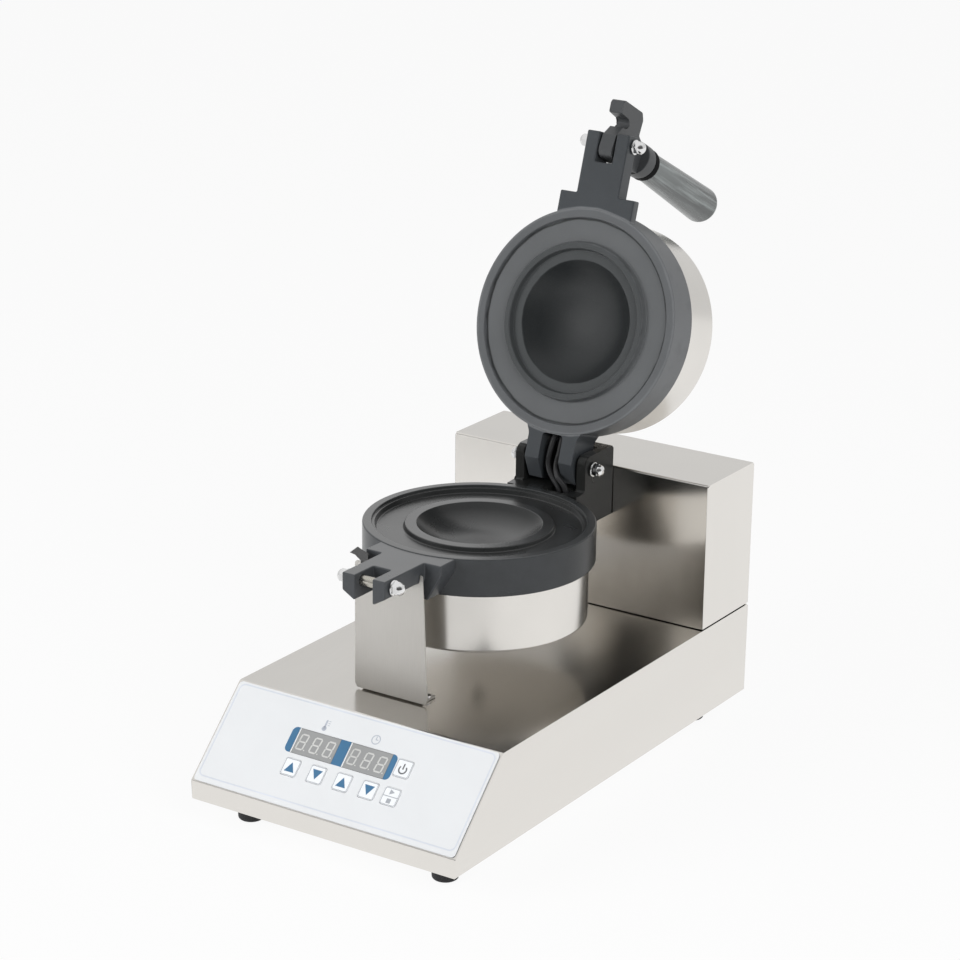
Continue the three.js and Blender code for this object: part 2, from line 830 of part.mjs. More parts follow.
// The space of the recess, which the tongue and deck must not fill
function turned_room() {
  return turned([
    [0, -mould_thickness / 2],
    [rim_inner + edge_round, -mould_thickness / 2],
    [rim_inner + edge_round, overrun],
    [0, overrun],
  ]).translate([0, mould_y, parting_z]);
}

// Web between the ears; its front face is the stop that the open lid leans on
function hinge_web(low, back, top) {
  const boss = hinge_rise - face_z;
  const reach = boss + gap;
  const along = new THREE.Vector2(-Math.cos(lid_open), Math.sin(lid_open));
  const across = new THREE.Vector2(Math.sin(lid_open), Math.cos(lid_open));
  const rest = across.clone().multiplyScalar(reach).add(new THREE.Vector2(hinge_y, hinge_z));
  const climb = (top - rest.y) / along.y;
  const crest = along.clone().multiplyScalar(climb).add(rest);
  return prism(outline([
    [rest.x, low],
    [back, low],
    [back, top],
    [crest.x, crest.y],
    [rest.x, rest.y],
  ]), 'x', -ear_inner - gap, ear_inner + gap);
}

// Upper mould in its closed place: plate, tongue, shoulder and two hinge lugs in one casting
function upper_mould() {
  const face = parting_z + gap;
  const deck = face + rim_proud;
  const back = face + mould_thickness;
  const flip = (body) => body.mirror([0, 0, 1]);
  const plate = flip(cut(upper_plate_disc(), ...plate_bores())).translate([0, mould_y, face]);
  const front = flip(tongue_and_shoulder(upper_tongue_reach, upper_shoulder_reach)).translate([0, 0, deck]);
  const lever_bore = bar(
    pin_radius + gap, 'x', -tongue_half - overrun, tongue_half + overrun, [pin_y, lever_z]);
  const boss = hinge_rise - face_z;
  const inner_y = mould_y + rim_inner;
  const lug_shape = new THREE.Shape();
  lug_shape.moveTo(inner_y, deck);
  lug_shape.lineTo(hinge_y, hinge_z - boss);
  lug_shape.absarc(hinge_y, hinge_z, boss, -lug_heel, Math.PI / 2, false);
  lug_shape.lineTo(inner_y, Math.min(hinge_z + boss, back));
  const lug = prism(lug_shape, 'x', -lug_outer, lug_outer);
  const root_y = mould_y + Math.sqrt(mould_radius ** 2 - lug_outer ** 2);
  const roots = prism(outline([
    [-lug_outer - lug_root, root_y - lug_root],
    [lug_outer + lug_root, root_y - lug_root],
    [lug_outer, root_y + lug_root],
    [-lug_outer, root_y + lug_root],
  ]), 'z', deck, back);
  const slot_end = mould_y + mould_radius + gap;
  const slot = prism(outline([
    [-lug_slot, slot_end, lug_corner],
    [lug_slot, slot_end, lug_corner],
    [lug_slot, hinge_y + boss + overrun],
    [-lug_slot, hinge_y + boss + overrun],
  ]), 'z', deck - overrun, back + overrun + hinge_rise);
  const lug_end = lug_outer + overrun;
  const bore = bar(pin_radius + running_gap, 'x', -lug_end, lug_end, [hinge_y, hinge_z]);
  const head_room = bar(
    hinge_head_radius + gap, 'x', -lug_slot - hinge_head - gap, lug_slot + hinge_head + gap,
    [hinge_y, hinge_z]);
  const room = flip(turned_room().translate([0, 0, -parting_z])).translate([0, 0, parting_z]);
  const arms = cut(joined(front, lug, roots), room);
  return cut(joined(plate, arms), lever_bore, slot, bore, head_room, lead_passage());
}

// Slanting way for the leads from the slot between the lugs to the space behind the plate
function lead_passage() {
  const [start, end] = passage_route.map(([back, rise]) =>
    new THREE.Vector3(passage_x, hinge_y + back, hinge_z + rise));
  const length = start.distanceTo(end);
  const geometry = new THREE.CylinderGeometry(passage_radius, passage_radius, length, small_steps);
  const turn = new THREE.Quaternion().setFromUnitVectors(
    new THREE.Vector3(0, 1, 0), end.clone().sub(start).normalize());
  geometry.applyQuaternion(turn);
  geometry.translate(...start.add(end).divideScalar(2).toArray());
  return solid(geometry);
}

// Drum of thin sheet on the back of a plate, drawn with its open edge at height 0
function drum() {
  const depth = drum_end - mould_thickness - 2 * gap;
  return turned([
    [drum_radius - drum_wall, 0],
    [drum_radius - drum_wall, drum_wall - depth],
    [drum_bolt_radius + gap, drum_wall - depth],
    [drum_bolt_radius + gap, -depth],
    [drum_radius - drum_corner, -depth],
    [drum_radius, drum_corner - depth],
    [drum_radius, 0],
    [drum_radius - drum_wall, 0],
  ]);
}

// Ring heater with two bent ends, against the back of a plate at height 0
function heater() {
  const start = (Math.PI * 2 - heater_arc) / 2 - Math.PI / 2;
  const height = -gap - heater_tube;
  const ring_steps = 12;
  const on_ring = (angle, z) => new THREE.Vector3(
    heater_ring_radius * Math.cos(angle), heater_ring_radius * Math.sin(angle), z);
  const ring = [...Array(ring_steps + 1).keys()].map((step) => {
    const end = step === 0 || step === ring_steps;
    const dip = end ? heater_tube * heater_dip_share : 0;
    return on_ring(start + heater_arc * step / ring_steps, height - dip);
  });
  const first = on_ring(start, height - heater_terminal);
  const last = on_ring(start + heater_arc, height - heater_terminal);
  const curve = new THREE.CatmullRomCurve3([first, ...ring, last]);
  return tube(heater_tube, curve, heater_steps, small_steps / 2);
}

// Dished plate that presses the heater to the mould, with windows for its ends and the probe
function heater_clamp() {
  const top = -2 * gap - 2 * heater_tube;
  const plate = turned([
    [drum_bolt_radius + gap, top + clamp_bend],
    [drum_bolt_radius + gap, top + clamp_bend - clamp_thickness],
    [heater_ring_radius / 2, top + clamp_bend - clamp_thickness],
    [heater_ring_radius - clamp_bend * 2, top - clamp_thickness],
    [clamp_radius, top - clamp_thickness],
    [clamp_radius, top],
    [heater_ring_radius - clamp_bend * 2, top],
    [heater_ring_radius / 2, top + clamp_bend],
    [drum_bolt_radius + gap, top + clamp_bend],
  ], middle_steps);
  const half_open = Math.PI - heater_arc / 2;
  const ends_half = heater_ring_radius * Math.sin(half_open) + clamp_end_room;
  const ends = block(
    [-ends_half, -clamp_radius - overrun, top - clamp_bend],
    [ends_half, -heater_ring_radius + clamp_window, top + clamp_bend],
  );
  const probe_hole = bar(
    probe_collar_radius + gap, 'z', top - clamp_bend, top + 2 * clamp_bend, [probe_place, probe_place]);
  return cut(plate, ends, probe_hole);
}

// Bolt through the end of the drum and the clamp into the plate
function drum_bolt() {
  const end = -(drum_end - mould_thickness - 2 * gap) - 2 * gap;
  return turned([
    [0, end - drum_bolt_head_height],
    [drum_bolt_head - edge_round, end - drum_bolt_head_height],
    [drum_bolt_head, end - drum_bolt_head_height + edge_round],
    [drum_bolt_head, end],
    [drum_bolt_radius, end],
    [drum_bolt_radius, drum_bolt_thread],
    [0, drum_bolt_thread],
  ], small_steps);
}

// Temperature probe in its blind hole, with a collar on the plate's back
function temperature_probe() {
  const collar_low = -gap - probe_collar_height;
  return turned([
    [0, -probe_length / 2 - probe_collar_height],
    [probe_radius, -probe_length / 2 - probe_collar_height],
    [probe_radius, collar_low],
    [probe_collar_radius, collar_low],
    [probe_collar_radius, -gap],
    [probe_radius, -gap],
    [probe_radius, probe_length / 2],
    [0, probe_length / 2],
  ], small_steps).translate([probe_place, probe_place, 0]);
}

// Plain pin with thinner threaded ends, along X
function fork_pin(y, z) {
  const shank = tongue_half + gap;
  const end = shank + nut_flange + nut_length / 2;
  return joined(
    bar(pin_radius, 'x', -shank, shank, [y, z]),
    bar(thread_radius, 'x', -end, end, [y, z]),
  );
}

// Domed flange nut with a blind hole, its flange at the given x and its dome away from the middle
function domed_nut(side, x, y, z) {
  const hex_end = nut_flange + nut_length * nut_hex_share;
  const end = nut_flange + nut_length;
  const dome_radius = nut_radius * Math.cos(Math.PI / 6);
  const dome_steps = 3;
  const dome = [...Array(dome_steps).keys()].map((step) => {
    const angle = Math.PI / 2 * (step + 1) / dome_steps;
    return step === dome_steps - 1
      ? [0, end]
      : [dome_radius * Math.cos(angle), hex_end + (end - hex_end) * Math.sin(angle)];
  });
  const hex = bar(nut_radius, 'z', nut_flange / 2, hex_end, [0, 0], 6);
  const flange = bar(nut_flange_radius, 'z', 0, nut_flange, [0, 0]);
  const cap = turned([
    [0, nut_flange / 2],
    [dome_radius, nut_flange / 2],
    [dome_radius, hex_end],
    ...dome,
  ], small_steps);
  const hole_end = nut_flange + nut_length / 2 + 2 * gap;
  const thread = bar(thread_radius + gap, 'z', -overrun, hole_end, [0, 0], thread_sides);
  return cut(joined(hex, flange, cap), thread).rotate([0, side * 90, 0]).translate([side * x, y, z]);
}

// Hinge pin: a low head inside the lug, a shank through lug and ear, and a threaded end
function hinge_pin(side) {
  const head_from = lug_slot + gap;
  const head_to = head_from + hinge_head - gap;
  const shank_to = ear_outer + gap;
  const end = shank_to + nut_flange + nut_length / 2;
  const body = joined(
    bar(hinge_head_radius, 'x', head_from, head_to, [hinge_y, hinge_z]),
    bar(pin_radius, 'x', head_from, shank_to, [hinge_y, hinge_z]),
    bar(thread_radius, 'x', head_from, end, [hinge_y, hinge_z]),
  );
  return side > 0 ? body : body.mirror([1, 0, 0]);
}

// Screw from inside the rear housing into the hinge block
function hinge_screw(x) {
  const seat = housing_front + sheet + gap;
  const place = [x, hinge_screw_z];
  return joined(
    bar(hinge_screw_radius, 'y', housing_front - gap - hinge_screw_length, seat + overrun, place),
    bar(hinge_screw_head, 'y', seat, seat + screw_head_height, place),
  );
}

// Front bracket of bent sheet: the tongue drops into the notch between its two horns
const bracket_y = shoulder_y - bracket_ahead;
const bracket_screw_y = bracket_y + bracket_screw_back;
const bracket_screws = [
  { name: 'left', x: -bracket_left + bracket_screw_inset },
  { name: 'right', x: bracket_right - bracket_screw_inset },
];

function front_bracket() {
  const low = base_height + gap;
  const seat = parting_z - gap - rim_proud;
  const top = seat - bracket_top_drop;
  const bed = seat - tongue_thickness - gap;
  const notch_half = tongue_half + 2 * gap;
  const notch_side = seat - tongue_side - gap;
  const plate = prism(outline([
    [-bracket_left, low, bracket_corner],
    [bracket_right, low, bracket_corner],
    [bracket_right - bracket_taper, top, tongue_corner / 2],
    [notch_half, top, 0],
    [notch_half, notch_side],
    [notch_half - tongue_chamfer, bed],
    [tongue_chamfer - notch_half, bed],
    [-notch_half, notch_side],
    [-notch_half, top, 0],
    [-bracket_left, top, tongue_corner],
  ]), 'y', bracket_y, bracket_y + bracket_sheet);
  const flange = cut(
    block(
      [-bracket_left + bracket_corner, bracket_y, low],
      [bracket_right - bracket_corner, bracket_y + bracket_foot, low + bracket_sheet],
    ),
    ...bracket_screws.map(({ x }) => bar(
      screw_radius + gap, 'z', low - overrun, low + bracket_sheet + overrun, [x, bracket_screw_y])),
  );
  const root = -notch_half - curl_foot_reach;
  const tip = new THREE.Vector2(root - curl_reach, seat - curl_tip_drop);
  const foot_top = new THREE.Vector2(root - curl_foot_reach, top + curl_foot_drop);
  const under = tip.clone().add(foot_top).divideScalar(2);
  const curl = prism(outline([
    [root, top - bracket_sheet],
    [root, seat - curl_foot_drop, bracket_sheet],
    [root - curl_notch_reach, seat + curl_notch_rise],
    [root - curl_top_reach, seat + curl_rise],
    [tip.x, tip.y],
    [under.x, under.y + curl_sag],
    [foot_top.x, foot_top.y],
    [foot_top.x, top - bracket_sheet],
  ]), 'y', bracket_y, bracket_y + bracket_sheet);
  return joined(plate, flange, curl);
}

function bracket_screw(x) {
  const seat = base_height + gap + bracket_sheet + gap;
  const body = turned([
    [0, -screw_grip],
    [screw_radius, -screw_grip],
    [screw_radius, 0],
    [screw_head_radius, 0],
    [screw_head_radius, screw_head_height / 2],
    [screw_head_radius * screw_crown_share, screw_head_height],
    [0, screw_head_height],
  ], small_steps);
  return body.translate([x, bracket_screw_y, seat]);
}

// Latch lever, drawn locked: the hook hangs from its pin round the catch pin, the neck points forward
const mouth_distance = catch_drop + lever_rise;
const mouth_half = pin_radius + mouth_clearance;

function handle_place(body) {
  const turn = new THREE.Matrix4().makeRotationX(handle_tilt);
  turn.setPosition(0, 0, handle_offset);
  return body.transform(turn.elements);
}

function latch_lever() {
  const mouth_top = mouth_half - mouth_distance;
  const mouth_bottom = -mouth_half - mouth_distance;
  const heel = mouth_bottom - hook_under;
  const shape = outline([
    [hub_radius, 0],
    [hub_radius, hub_rise, hub_radius / 2],
    [-hub_radius, hub_rise, hub_radius / 2],
    [-collar_start, collar_radius * neck_half_share + handle_offset],
    [-collar_start, -collar_radius * neck_half_share + handle_offset],
    [-hook_arm - neck_back, -neck_low, neck_back / 2],
    [-hook_arm - mouth_half, heel + hook_chamfer, hook_chamfer / 3],
    [-hook_arm, heel, hook_chamfer / 2],
    [hook_tip + hook_tip_slope, heel + hook_tip_slope, hook_tip_slope],
    [hook_tip, mouth_bottom, hook_tip_slope / 2],
    [-mouth_half - mouth_depth, mouth_bottom, mouth_half * mouth_round_share],
    [-mouth_half - mouth_depth, mouth_top, mouth_half * mouth_round_share],
    [mouth_half / 2, mouth_top, mouth_clearance],
    [hub_radius, -hub_radius / 2, hub_radius / 4],
  ]);
  const body = prism(shape, 'x', -lever_half, lever_half);
  const collar = turned([
    [0, collar_start],
    [collar_radius, collar_start],
    [collar_radius, collar_start + collar_length - collar_chamfer],
    [collar_radius - collar_chamfer, collar_start + collar_length],
    [0, collar_start + collar_length],
  ], middle_steps).rotate([90, 0, 0]);
  const bore = bar(pin_radius + running_gap, 'x', -lever_half - overrun, lever_half + overrun, [0, 0]);
  const stud_from = collar_start + collar_length - stud_in_lever - gap;
  const stud_hole = bar(
    stud_radius + gap, 'y', -collar_start - collar_length - overrun, -stud_from, [0, 0]);
  return cut(joined(body, handle_place(collar)), bore, handle_place(stud_hole));
}

function lever_stud() {
  const end = collar_start + collar_length;
  return handle_place(bar(
    stud_radius, 'y', -end - washer_length - stud_in_grip, stud_in_lever - end, [0, 0]));
}

function grip_washer() {
  const from = collar_start + collar_length + gap;
  return handle_place(turned([
    [stud_radius + gap, from],
    [washer_radius, from],
    [washer_radius, from + washer_length - gap],
    [stud_radius + gap, from + washer_length - gap],
    [stud_radius + gap, from],
  ], middle_steps).rotate([90, 0, 0]));
}

function handle_grip() {
  const from = collar_start + collar_length + washer_length + gap;
  const to = from + grip_length;
  const bore_end = from + stud_in_grip + gap;
  const dome_steps = 5;
  const dome = [...Array(dome_steps).keys()].map((step) => {
    const angle = Math.PI / 2 * (step + 1) / dome_steps;
    const flat = grip_end_radius - grip_dome;
    return step === dome_steps - 1
      ? [0, to]
      : [flat + grip_dome * Math.cos(angle), to - grip_dome + grip_dome * Math.sin(angle)];
  });
  return handle_place(turned([
    [0, bore_end],
    [stud_radius + gap, bore_end],
    [stud_radius + gap, from],
    [grip_root_radius - edge_round, from],
    [grip_root_radius, from + edge_round],
    [grip_end_radius, to - grip_dome],
    ...dome,
  ], middle_steps).rotate([90, 0, 0]));
}

// Sleeved leads: out of the upper mould, down through the hinge and back into the housing.
// Points are x, and y and z from the hinge's axis; the first ones are in the lid's closed place.
const passage_route = [[-15.7, -15.3], [-37.7, 18.7]];
const lead_routes = {
  left: {
    lid: [[-1.2, -33.7, 12.2], [-1.2, -26.7, 1.7], [-1.2, -20.2, -8.3]],
    base: [
      [-2.6, -6.2, 12.2], [-4.2, -7.2, 1.7], [-2.6, -8.2, -3.8], [-0.4, -9.2, -7.3],
      [3, -10.4, -10.9], [7, -11.7, -14.1], [10.2, -12.7, -18.3], [11.6, -12.3, -24.3],
      [11, -9.7, -29.8], [8.8, -2.7, -33], [8.8, 13.3, -33.1], [8.8, 31.3, -33.1], [8.8, 41.3, -33.1],
    ],
  },
  right: {
    lid: [[6, -33.7, 12.2], [6, -26.7, 1.7], [6, -20.2, -8.3]],
    base: [
      [5.4, -6.2, 10.2], [3.8, -6.9, 3.2], [3.9, -8.3, -1.3], [5.6, -10.3, -4.9],
      [8.6, -12.9, -7.9], [12.2, -13.9, -10.5], [15.8, -14.5, -13.9], [17.6, -14.5, -18.7],
      [17.2, -13.2, -24.8], [16, -9.7, -30.3], [15.2, -2.7, -33], [15.2, 13.3, -33.1],
      [15.2, 31.3, -33.1], [15.2, 41.3, -33.1],
    ],
  },
};

function heater_lead({ lid: lid_points, base: base_points }) {
  const open = new THREE.Matrix4().makeRotationX(-lid_open);
  const points = [
    ...lid_points.map((point) => new THREE.Vector3(...point).applyMatrix4(open)),
    ...base_points.map((point) => new THREE.Vector3(...point)),
  ].map((point) => point.add(new THREE.Vector3(0, hinge_y, hinge_z)));
  return tube(lead_radius, new THREE.CatmullRomCurve3(points), lead_steps, thread_sides);
}

// The case and what is in it
add(machine, 'base_housing', base_housing(), stainless);
add(machine, 'base_plate', base_plate(), stainless);
feet.forEach(({ name, x, y }) => add(machine, `foot_${name}`, foot(x, y), rubber));
add(machine, 'rear_housing', rear_housing(), stainless);
add(machine, 'power_inlet', power_inlet(), plastic_black);
add(machine, 'relay', relay(), plastic_black);
add(machine, 'terminal_block', terminal_block(), ceramic);

// The control panel
add(panel, 'control_overlay', control_overlay(), film);
add(panel, 'control_board', control_board(), circuit);
windows.forEach(({ name, x }) => {
  add(panel, `display_window_${name}`, display_window(x), lens);
  add(panel, `display_module_${name}`, display_module(x), led_body);
});
keys.forEach(({ name, x, s }) => add(panel, name, key(x, s), key_film));

// The lower mould and what holds and heats it
const lower_back = parting_z - gap - mould_thickness;
const at_lower = (body) => body.translate([0, mould_y, lower_back]);
add(machine, 'lower_mould', lower_mould(), cast_black);
add(machine, 'lower_drum', at_lower(drum().translate([0, 0, -gap])), stainless);
add(machine, 'lower_heater', surface(at_lower(solid(heater()))), steel);
add(machine, 'lower_heater_clamp', at_lower(heater_clamp()), steel);
add(machine, 'lower_drum_bolt', at_lower(drum_bolt()), steel);
add(machine, 'lower_temperature_probe', at_lower(temperature_probe()), steel);
add(machine, 'front_bracket', front_bracket(), stainless);
bracket_screws.forEach(({ name, x }) => add(machine, `bracket_screw_${name}`, bracket_screw(x), chrome));
add(machine, 'catch_pin', fork_pin(pin_y, catch_z), chrome);
const sides = [{ name: 'left', side: -1 }, { name: 'right', side: 1 }];
sides.forEach(({ name, side }) => {
  const fork_nut_x = tongue_half + 2 * gap;
  add(machine, `catch_nut_${name}`, domed_nut(side, fork_nut_x, pin_y, catch_z), chrome);
  add(machine, `hinge_pin_${name}`, hinge_pin(side), steel);
  add(machine, `hinge_nut_${name}`, domed_nut(side, ear_outer + 2 * gap, hinge_y, hinge_z), chrome);
  add(machine, `hinge_screw_${name}`, hinge_screw(side * hinge_screw_x), steel);
  add(machine, `heater_lead_${name}`, heater_lead(lead_routes[name]), sleeve);
  add(lid, `lever_nut_${name}`, domed_nut(side, fork_nut_x, pin_y, lever_z), chrome);
});

// The upper mould, hung on the hinge, and what heats it
const upper_back = parting_z + gap + mould_thickness;
const at_upper = (body) => body.mirror([0, 0, 1]).translate([0, mould_y, upper_back]);
add(lid, 'upper_mould', upper_mould(), cast_black);
add(lid, 'upper_drum', at_upper(drum().translate([0, 0, -gap])), stainless);
add(lid, 'upper_heater', surface(at_upper(solid(heater()))), steel);
add(lid, 'upper_heater_clamp', at_upper(heater_clamp()), steel);
add(lid, 'upper_drum_bolt', at_upper(drum_bolt()), steel);
add(lid, 'upper_temperature_probe', at_upper(temperature_probe()), steel);
add(lid, 'lever_pin', fork_pin(pin_y, lever_z), steel);

// The latch lever and its handle
add(lever, 'latch_lever', latch_lever(), cast_black);
add(lever, 'lever_stud', lever_stud(), steel);
add(lever, 'grip_washer', grip_washer(), bakelite);
add(lever, 'handle_grip', handle_grip(), bakelite);

// Moves the whole object over the origin, on its feet
machine.updateMatrixWorld(true);
const box = new THREE.Box3().setFromObject(machine, true);
const middle = box.getCenter(new THREE.Vector3());
machine.position.set(-middle.x, -middle.y, -box.min.z);

export default machine;
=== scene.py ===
"""Looks of a countertop mould iron: brushed case, coated castings, printed panel and turned fittings.

Sizes are in millimetres in the case's own frame: X right, Y to the back, Z up, and the origin under
the middle of the case's front edge.
"""

import math

import bmesh
import bpy
from mathutils import Matrix, Vector

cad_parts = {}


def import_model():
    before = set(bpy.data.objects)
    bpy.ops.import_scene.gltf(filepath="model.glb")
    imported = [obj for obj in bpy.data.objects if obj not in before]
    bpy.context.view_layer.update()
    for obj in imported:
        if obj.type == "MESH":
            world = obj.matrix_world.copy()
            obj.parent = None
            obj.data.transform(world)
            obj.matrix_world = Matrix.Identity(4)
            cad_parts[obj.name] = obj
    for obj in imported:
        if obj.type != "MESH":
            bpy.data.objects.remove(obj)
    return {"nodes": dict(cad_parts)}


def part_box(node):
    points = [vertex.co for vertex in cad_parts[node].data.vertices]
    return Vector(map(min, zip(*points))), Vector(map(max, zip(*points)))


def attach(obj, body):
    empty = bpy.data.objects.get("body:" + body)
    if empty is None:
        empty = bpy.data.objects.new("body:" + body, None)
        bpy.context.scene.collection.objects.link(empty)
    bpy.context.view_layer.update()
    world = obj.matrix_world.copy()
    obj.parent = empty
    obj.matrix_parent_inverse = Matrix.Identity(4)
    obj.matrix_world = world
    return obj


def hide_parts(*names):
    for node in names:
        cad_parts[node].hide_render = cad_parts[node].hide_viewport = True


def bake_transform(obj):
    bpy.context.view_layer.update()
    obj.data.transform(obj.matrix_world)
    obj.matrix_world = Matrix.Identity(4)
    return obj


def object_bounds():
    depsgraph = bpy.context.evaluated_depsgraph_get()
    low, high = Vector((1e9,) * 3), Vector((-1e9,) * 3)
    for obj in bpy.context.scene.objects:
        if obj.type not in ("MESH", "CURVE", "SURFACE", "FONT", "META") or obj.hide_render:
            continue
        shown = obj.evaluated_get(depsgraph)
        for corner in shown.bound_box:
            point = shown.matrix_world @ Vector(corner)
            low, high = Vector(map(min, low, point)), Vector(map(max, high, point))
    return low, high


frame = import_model()
cad_low, cad_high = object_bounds()

# Case
base_width = 240
base_depth = 428.5
base_height = 76
strip_height = 15
panel_angle = math.radians(45)
sheet = 1.2
fold_radius = 1.6
case_edge = 0.96
foot_height = 20.8
foot_radius = 10
foot_top_radius = 10.8
foot_side_inset = 30.9
foot_end_inset = 33.3
foot_edge = 2.4
foot_top_edge = 0.8
housing_depth = 75.3
housing_height = 121.5
housing_seam = 0.8
inlet_ears = 20
inlet_edge = 1

# Moulds and drums
mould_radius = 90.3
mould_thickness = 30
drum_radius = 85
drum_end = 77
drum_bolt_hole = 3.4
drum_bolt_rim = 0.2
drum_edge = 2.2
drum_sheet = 1
under_drum = 35.1
rim_width = 7.4
rim_proud = 0.6
edge_round = 1.2
rim_inner_edge = 0.96
ledge_edge = 0.4
ledge_fillet = 0.7
recess_fillet = 1.2
ring_edge = 1.3
bowl_edge_round = 0.9
upper_recess_fillet = 0.8
upper_ring_fillet = 1.4
upper_ring_inner_edge = 1.1
upper_step_fillet = 0.8
lower_recess = 5.8
lower_ledge_depth = 2
lower_ledge_width = 2.2
lower_ring_outer = 57.5
lower_ring_top = 2.3
lower_bowl_radius = 48.8
upper_recess = 3
upper_ring_outer = 62.8
upper_ring_inner = 57.9
upper_ring_proud = 2
upper_step = 2.9
upper_bowl_radius = 49.2
bowl_depth = 17
wall_draft = 1.1
bowl_steps = 18

# Hinge
hinge_setback = 32.5
hinge_reach = 112.4
hinge_rise = 16.2
lid_open = math.radians(107.8)
pin_radius = 4
lug_outer = 22
lug_slot = 9.4
lug_root = 5
lug_corner = 3
lug_edge = 1
lug_fillet = 1.5
lug_heel = math.radians(10)
ear_gap = 2.6
ear_thickness = 8
ear_rise = 11.7
ear_front = 10.7
ear_corner = 6
ear_edge = 1
ear_foot_corner = 3
ear_top_corner = 2
ear_foot_reach = 23.5
deck_thickness = 8
lead_radius = 2.3
lead_hole_x = 11.6
lead_hole_width = 18.5
lead_hole_depth = 13
lead_hole_ahead = 14
lead_hole_corner = 2
web_hole_radius = 8
web_hole_drop = 33
hinge_head_radius = 6
hinge_head = 2.4

# Tongues, lever and handle
tongue_half = 19.3
lower_tongue_reach = 153.3
upper_tongue_reach = 151.3
tongue_thickness = 19.5
tongue_side = 13.7
tongue_chamfer = 10
tongue_easing = 1.1
fork_half = 7.8
fork_depth = 24
shoulder_half = 34
lower_shoulder_reach = 102.8
upper_shoulder_reach = 101.2
shoulder_side = 8
shoulder_foot_half = 22
pin_reach = 143.3
catch_drop = 7.8
lever_rise = 10.6
lever_swing = math.radians(104)
lever_half = 6
hub_radius = 9
hub_rise = 12.8
hub_front_corner = 5.5
hub_back_corner = 4.5
hub_fillet = 2.5
lever_edge = 1
mouth_clearance = 0.4
mouth_depth = 1.5
mouth_corner = 3.9
mouth_lip = 0.8
hook_under = 12.8
hook_tip = 10.6
hook_tip_slope = 2.4
hook_arm = 19.5
hook_chamfer = 5
hook_corner = 3
hook_tip_corner = 2.4
hook_lip = 1.4
neck_low = 17.5
neck_back = 5.5
neck_share = 0.7
handle_tilt = math.radians(3.6)
handle_offset = -1.3
neck_end = 44
collar_start = 37.5
collar_length = 12.9
collar_radius = 14
collar_chamfer = 1.4
collar_edge = 0.8
washer_length = 7
washer_radius = 13.6
washer_bore = 4.3
washer_edge = 0.5
grip_length = 112.5
grip_root_radius = 12.3
grip_end_radius = 15.3
grip_dome = 6
grip_root_edge = 1.2

# Nuts, screws and bracket
nut_radius = 5.6
nut_length = 8.2
nut_flange = 1.5
nut_flange_radius = 6
nut_flange_edge = 0.5
nut_flange_foot_edge = 0.3
nut_hex_share = 0.55
nut_seat = 0.4
nut_edge = 0.35
pin_edge = 0.3
screw_head_radius = 4.6
screw_head_height = 2.6
screw_crown_share = 0.35
screw_slot_share = 0.55
screw_slot_half = (2.6, 0.45)
bracket_sheet = 1.5
bracket_edge = 0.3
bracket_ahead = 7
bracket_left = 38.9
bracket_right = 27
bracket_taper = 5
bracket_top_drop = 8
bracket_foot = 19
bracket_corner = 5
bracket_screw_inset = 9.5
bracket_screw_back = 12
curl_reach = 17.2
curl_top_reach = 10.3
curl_notch_reach = 7.4
curl_foot_reach = 6.8
curl_tip_drop = 3.1
curl_rise = 2.7
curl_notch_rise = 1.3
curl_foot_drop = 1
curl_sag = 1.6
bracket_bend = 4

# Panel, with x to the right and s up the slope
overlay_side = 1.6
overlay_end = 0.9
overlay_film = 0.5
overlay_corner = 3
overlay_edge = 0.15
border_s = 44.5
border_width = 233
border_height = 79
border_line = 1.1
border_corner = 5
border_inner_corner = 4
display_frame_x = -7.2
display_frame_width = 95.6
display_frame_height = 20.6
display_frame_corner = 4
key_size = 13.8
key_corner = 1.7
key_edge = 0.25
key_row = 31
key_first_x = -42.2
key_pitch = 23.6
key_side_x = 48.4
key_power_s = 53.9
key_proud = 0.35
key_line_outer = 0.6
key_line_inner = 1.5
key_line_outer_corner = 1.5
key_line_inner_corner = 1.2
arrow_half = 4.4
arrow_foot = 3.8
arrow_tip = 4
window_width = 37.4
window_height = 20
window_s = 52.3
window_corner = 0.3
window_edge = 0.1
window_line = 0.8
window_line_inset = 0.5
window_xs = {"left": -30.3, "right": 16.7}
digit_pitch = 12.2
digit_half = 3
digit_rise = 6
digit_thick = 0.62
digit_gap = 0.08
digit_lean = math.tan(math.radians(6))
digit_shift = 0.1
point_right = 4.2
point_size = 1
point_corner = 0.2
symbol_s = 69.5
thermometer_x = -30
clock_x = 16.2
print_height = 0.06

# Shared
gap = 0.3
overlap = 1
overrun = 2
tool_margin = 9
on_axis = 1e-6
mm = 0.001
full_turn = 2 * math.pi
SIDES = {"left": -1, "right": 1}

# Places worked out from the sizes above
housing_front = base_depth - housing_depth
hinge_y = housing_front - hinge_setback
mould_y = hinge_y - hinge_reach
parting_z = base_height + under_drum + drum_end
hinge_z = parting_z + hinge_rise
rim_inner = mould_radius - rim_width
pin_y = mould_y - pin_reach
catch_z = parting_z - catch_drop
lever_z = parting_z + lever_rise
ear_inner = lug_outer + ear_gap
ear_outer = ear_inner + ear_thickness
panel_run = (base_height - strip_height) / math.tan(panel_angle)
panel_length = (base_height - strip_height) / math.sin(panel_angle)
face_z = gap + rim_proud
bracket_y = mould_y - lower_shoulder_reach - bracket_ahead
film_top = gap + overlay_film
key_top = film_top + key_proud
half_width = base_width / 2


def shift(x, y, z):
    return Matrix.Translation((x, y, z))


def turn(angle, axis="X"):
    return Matrix.Rotation(angle, 4, axis)


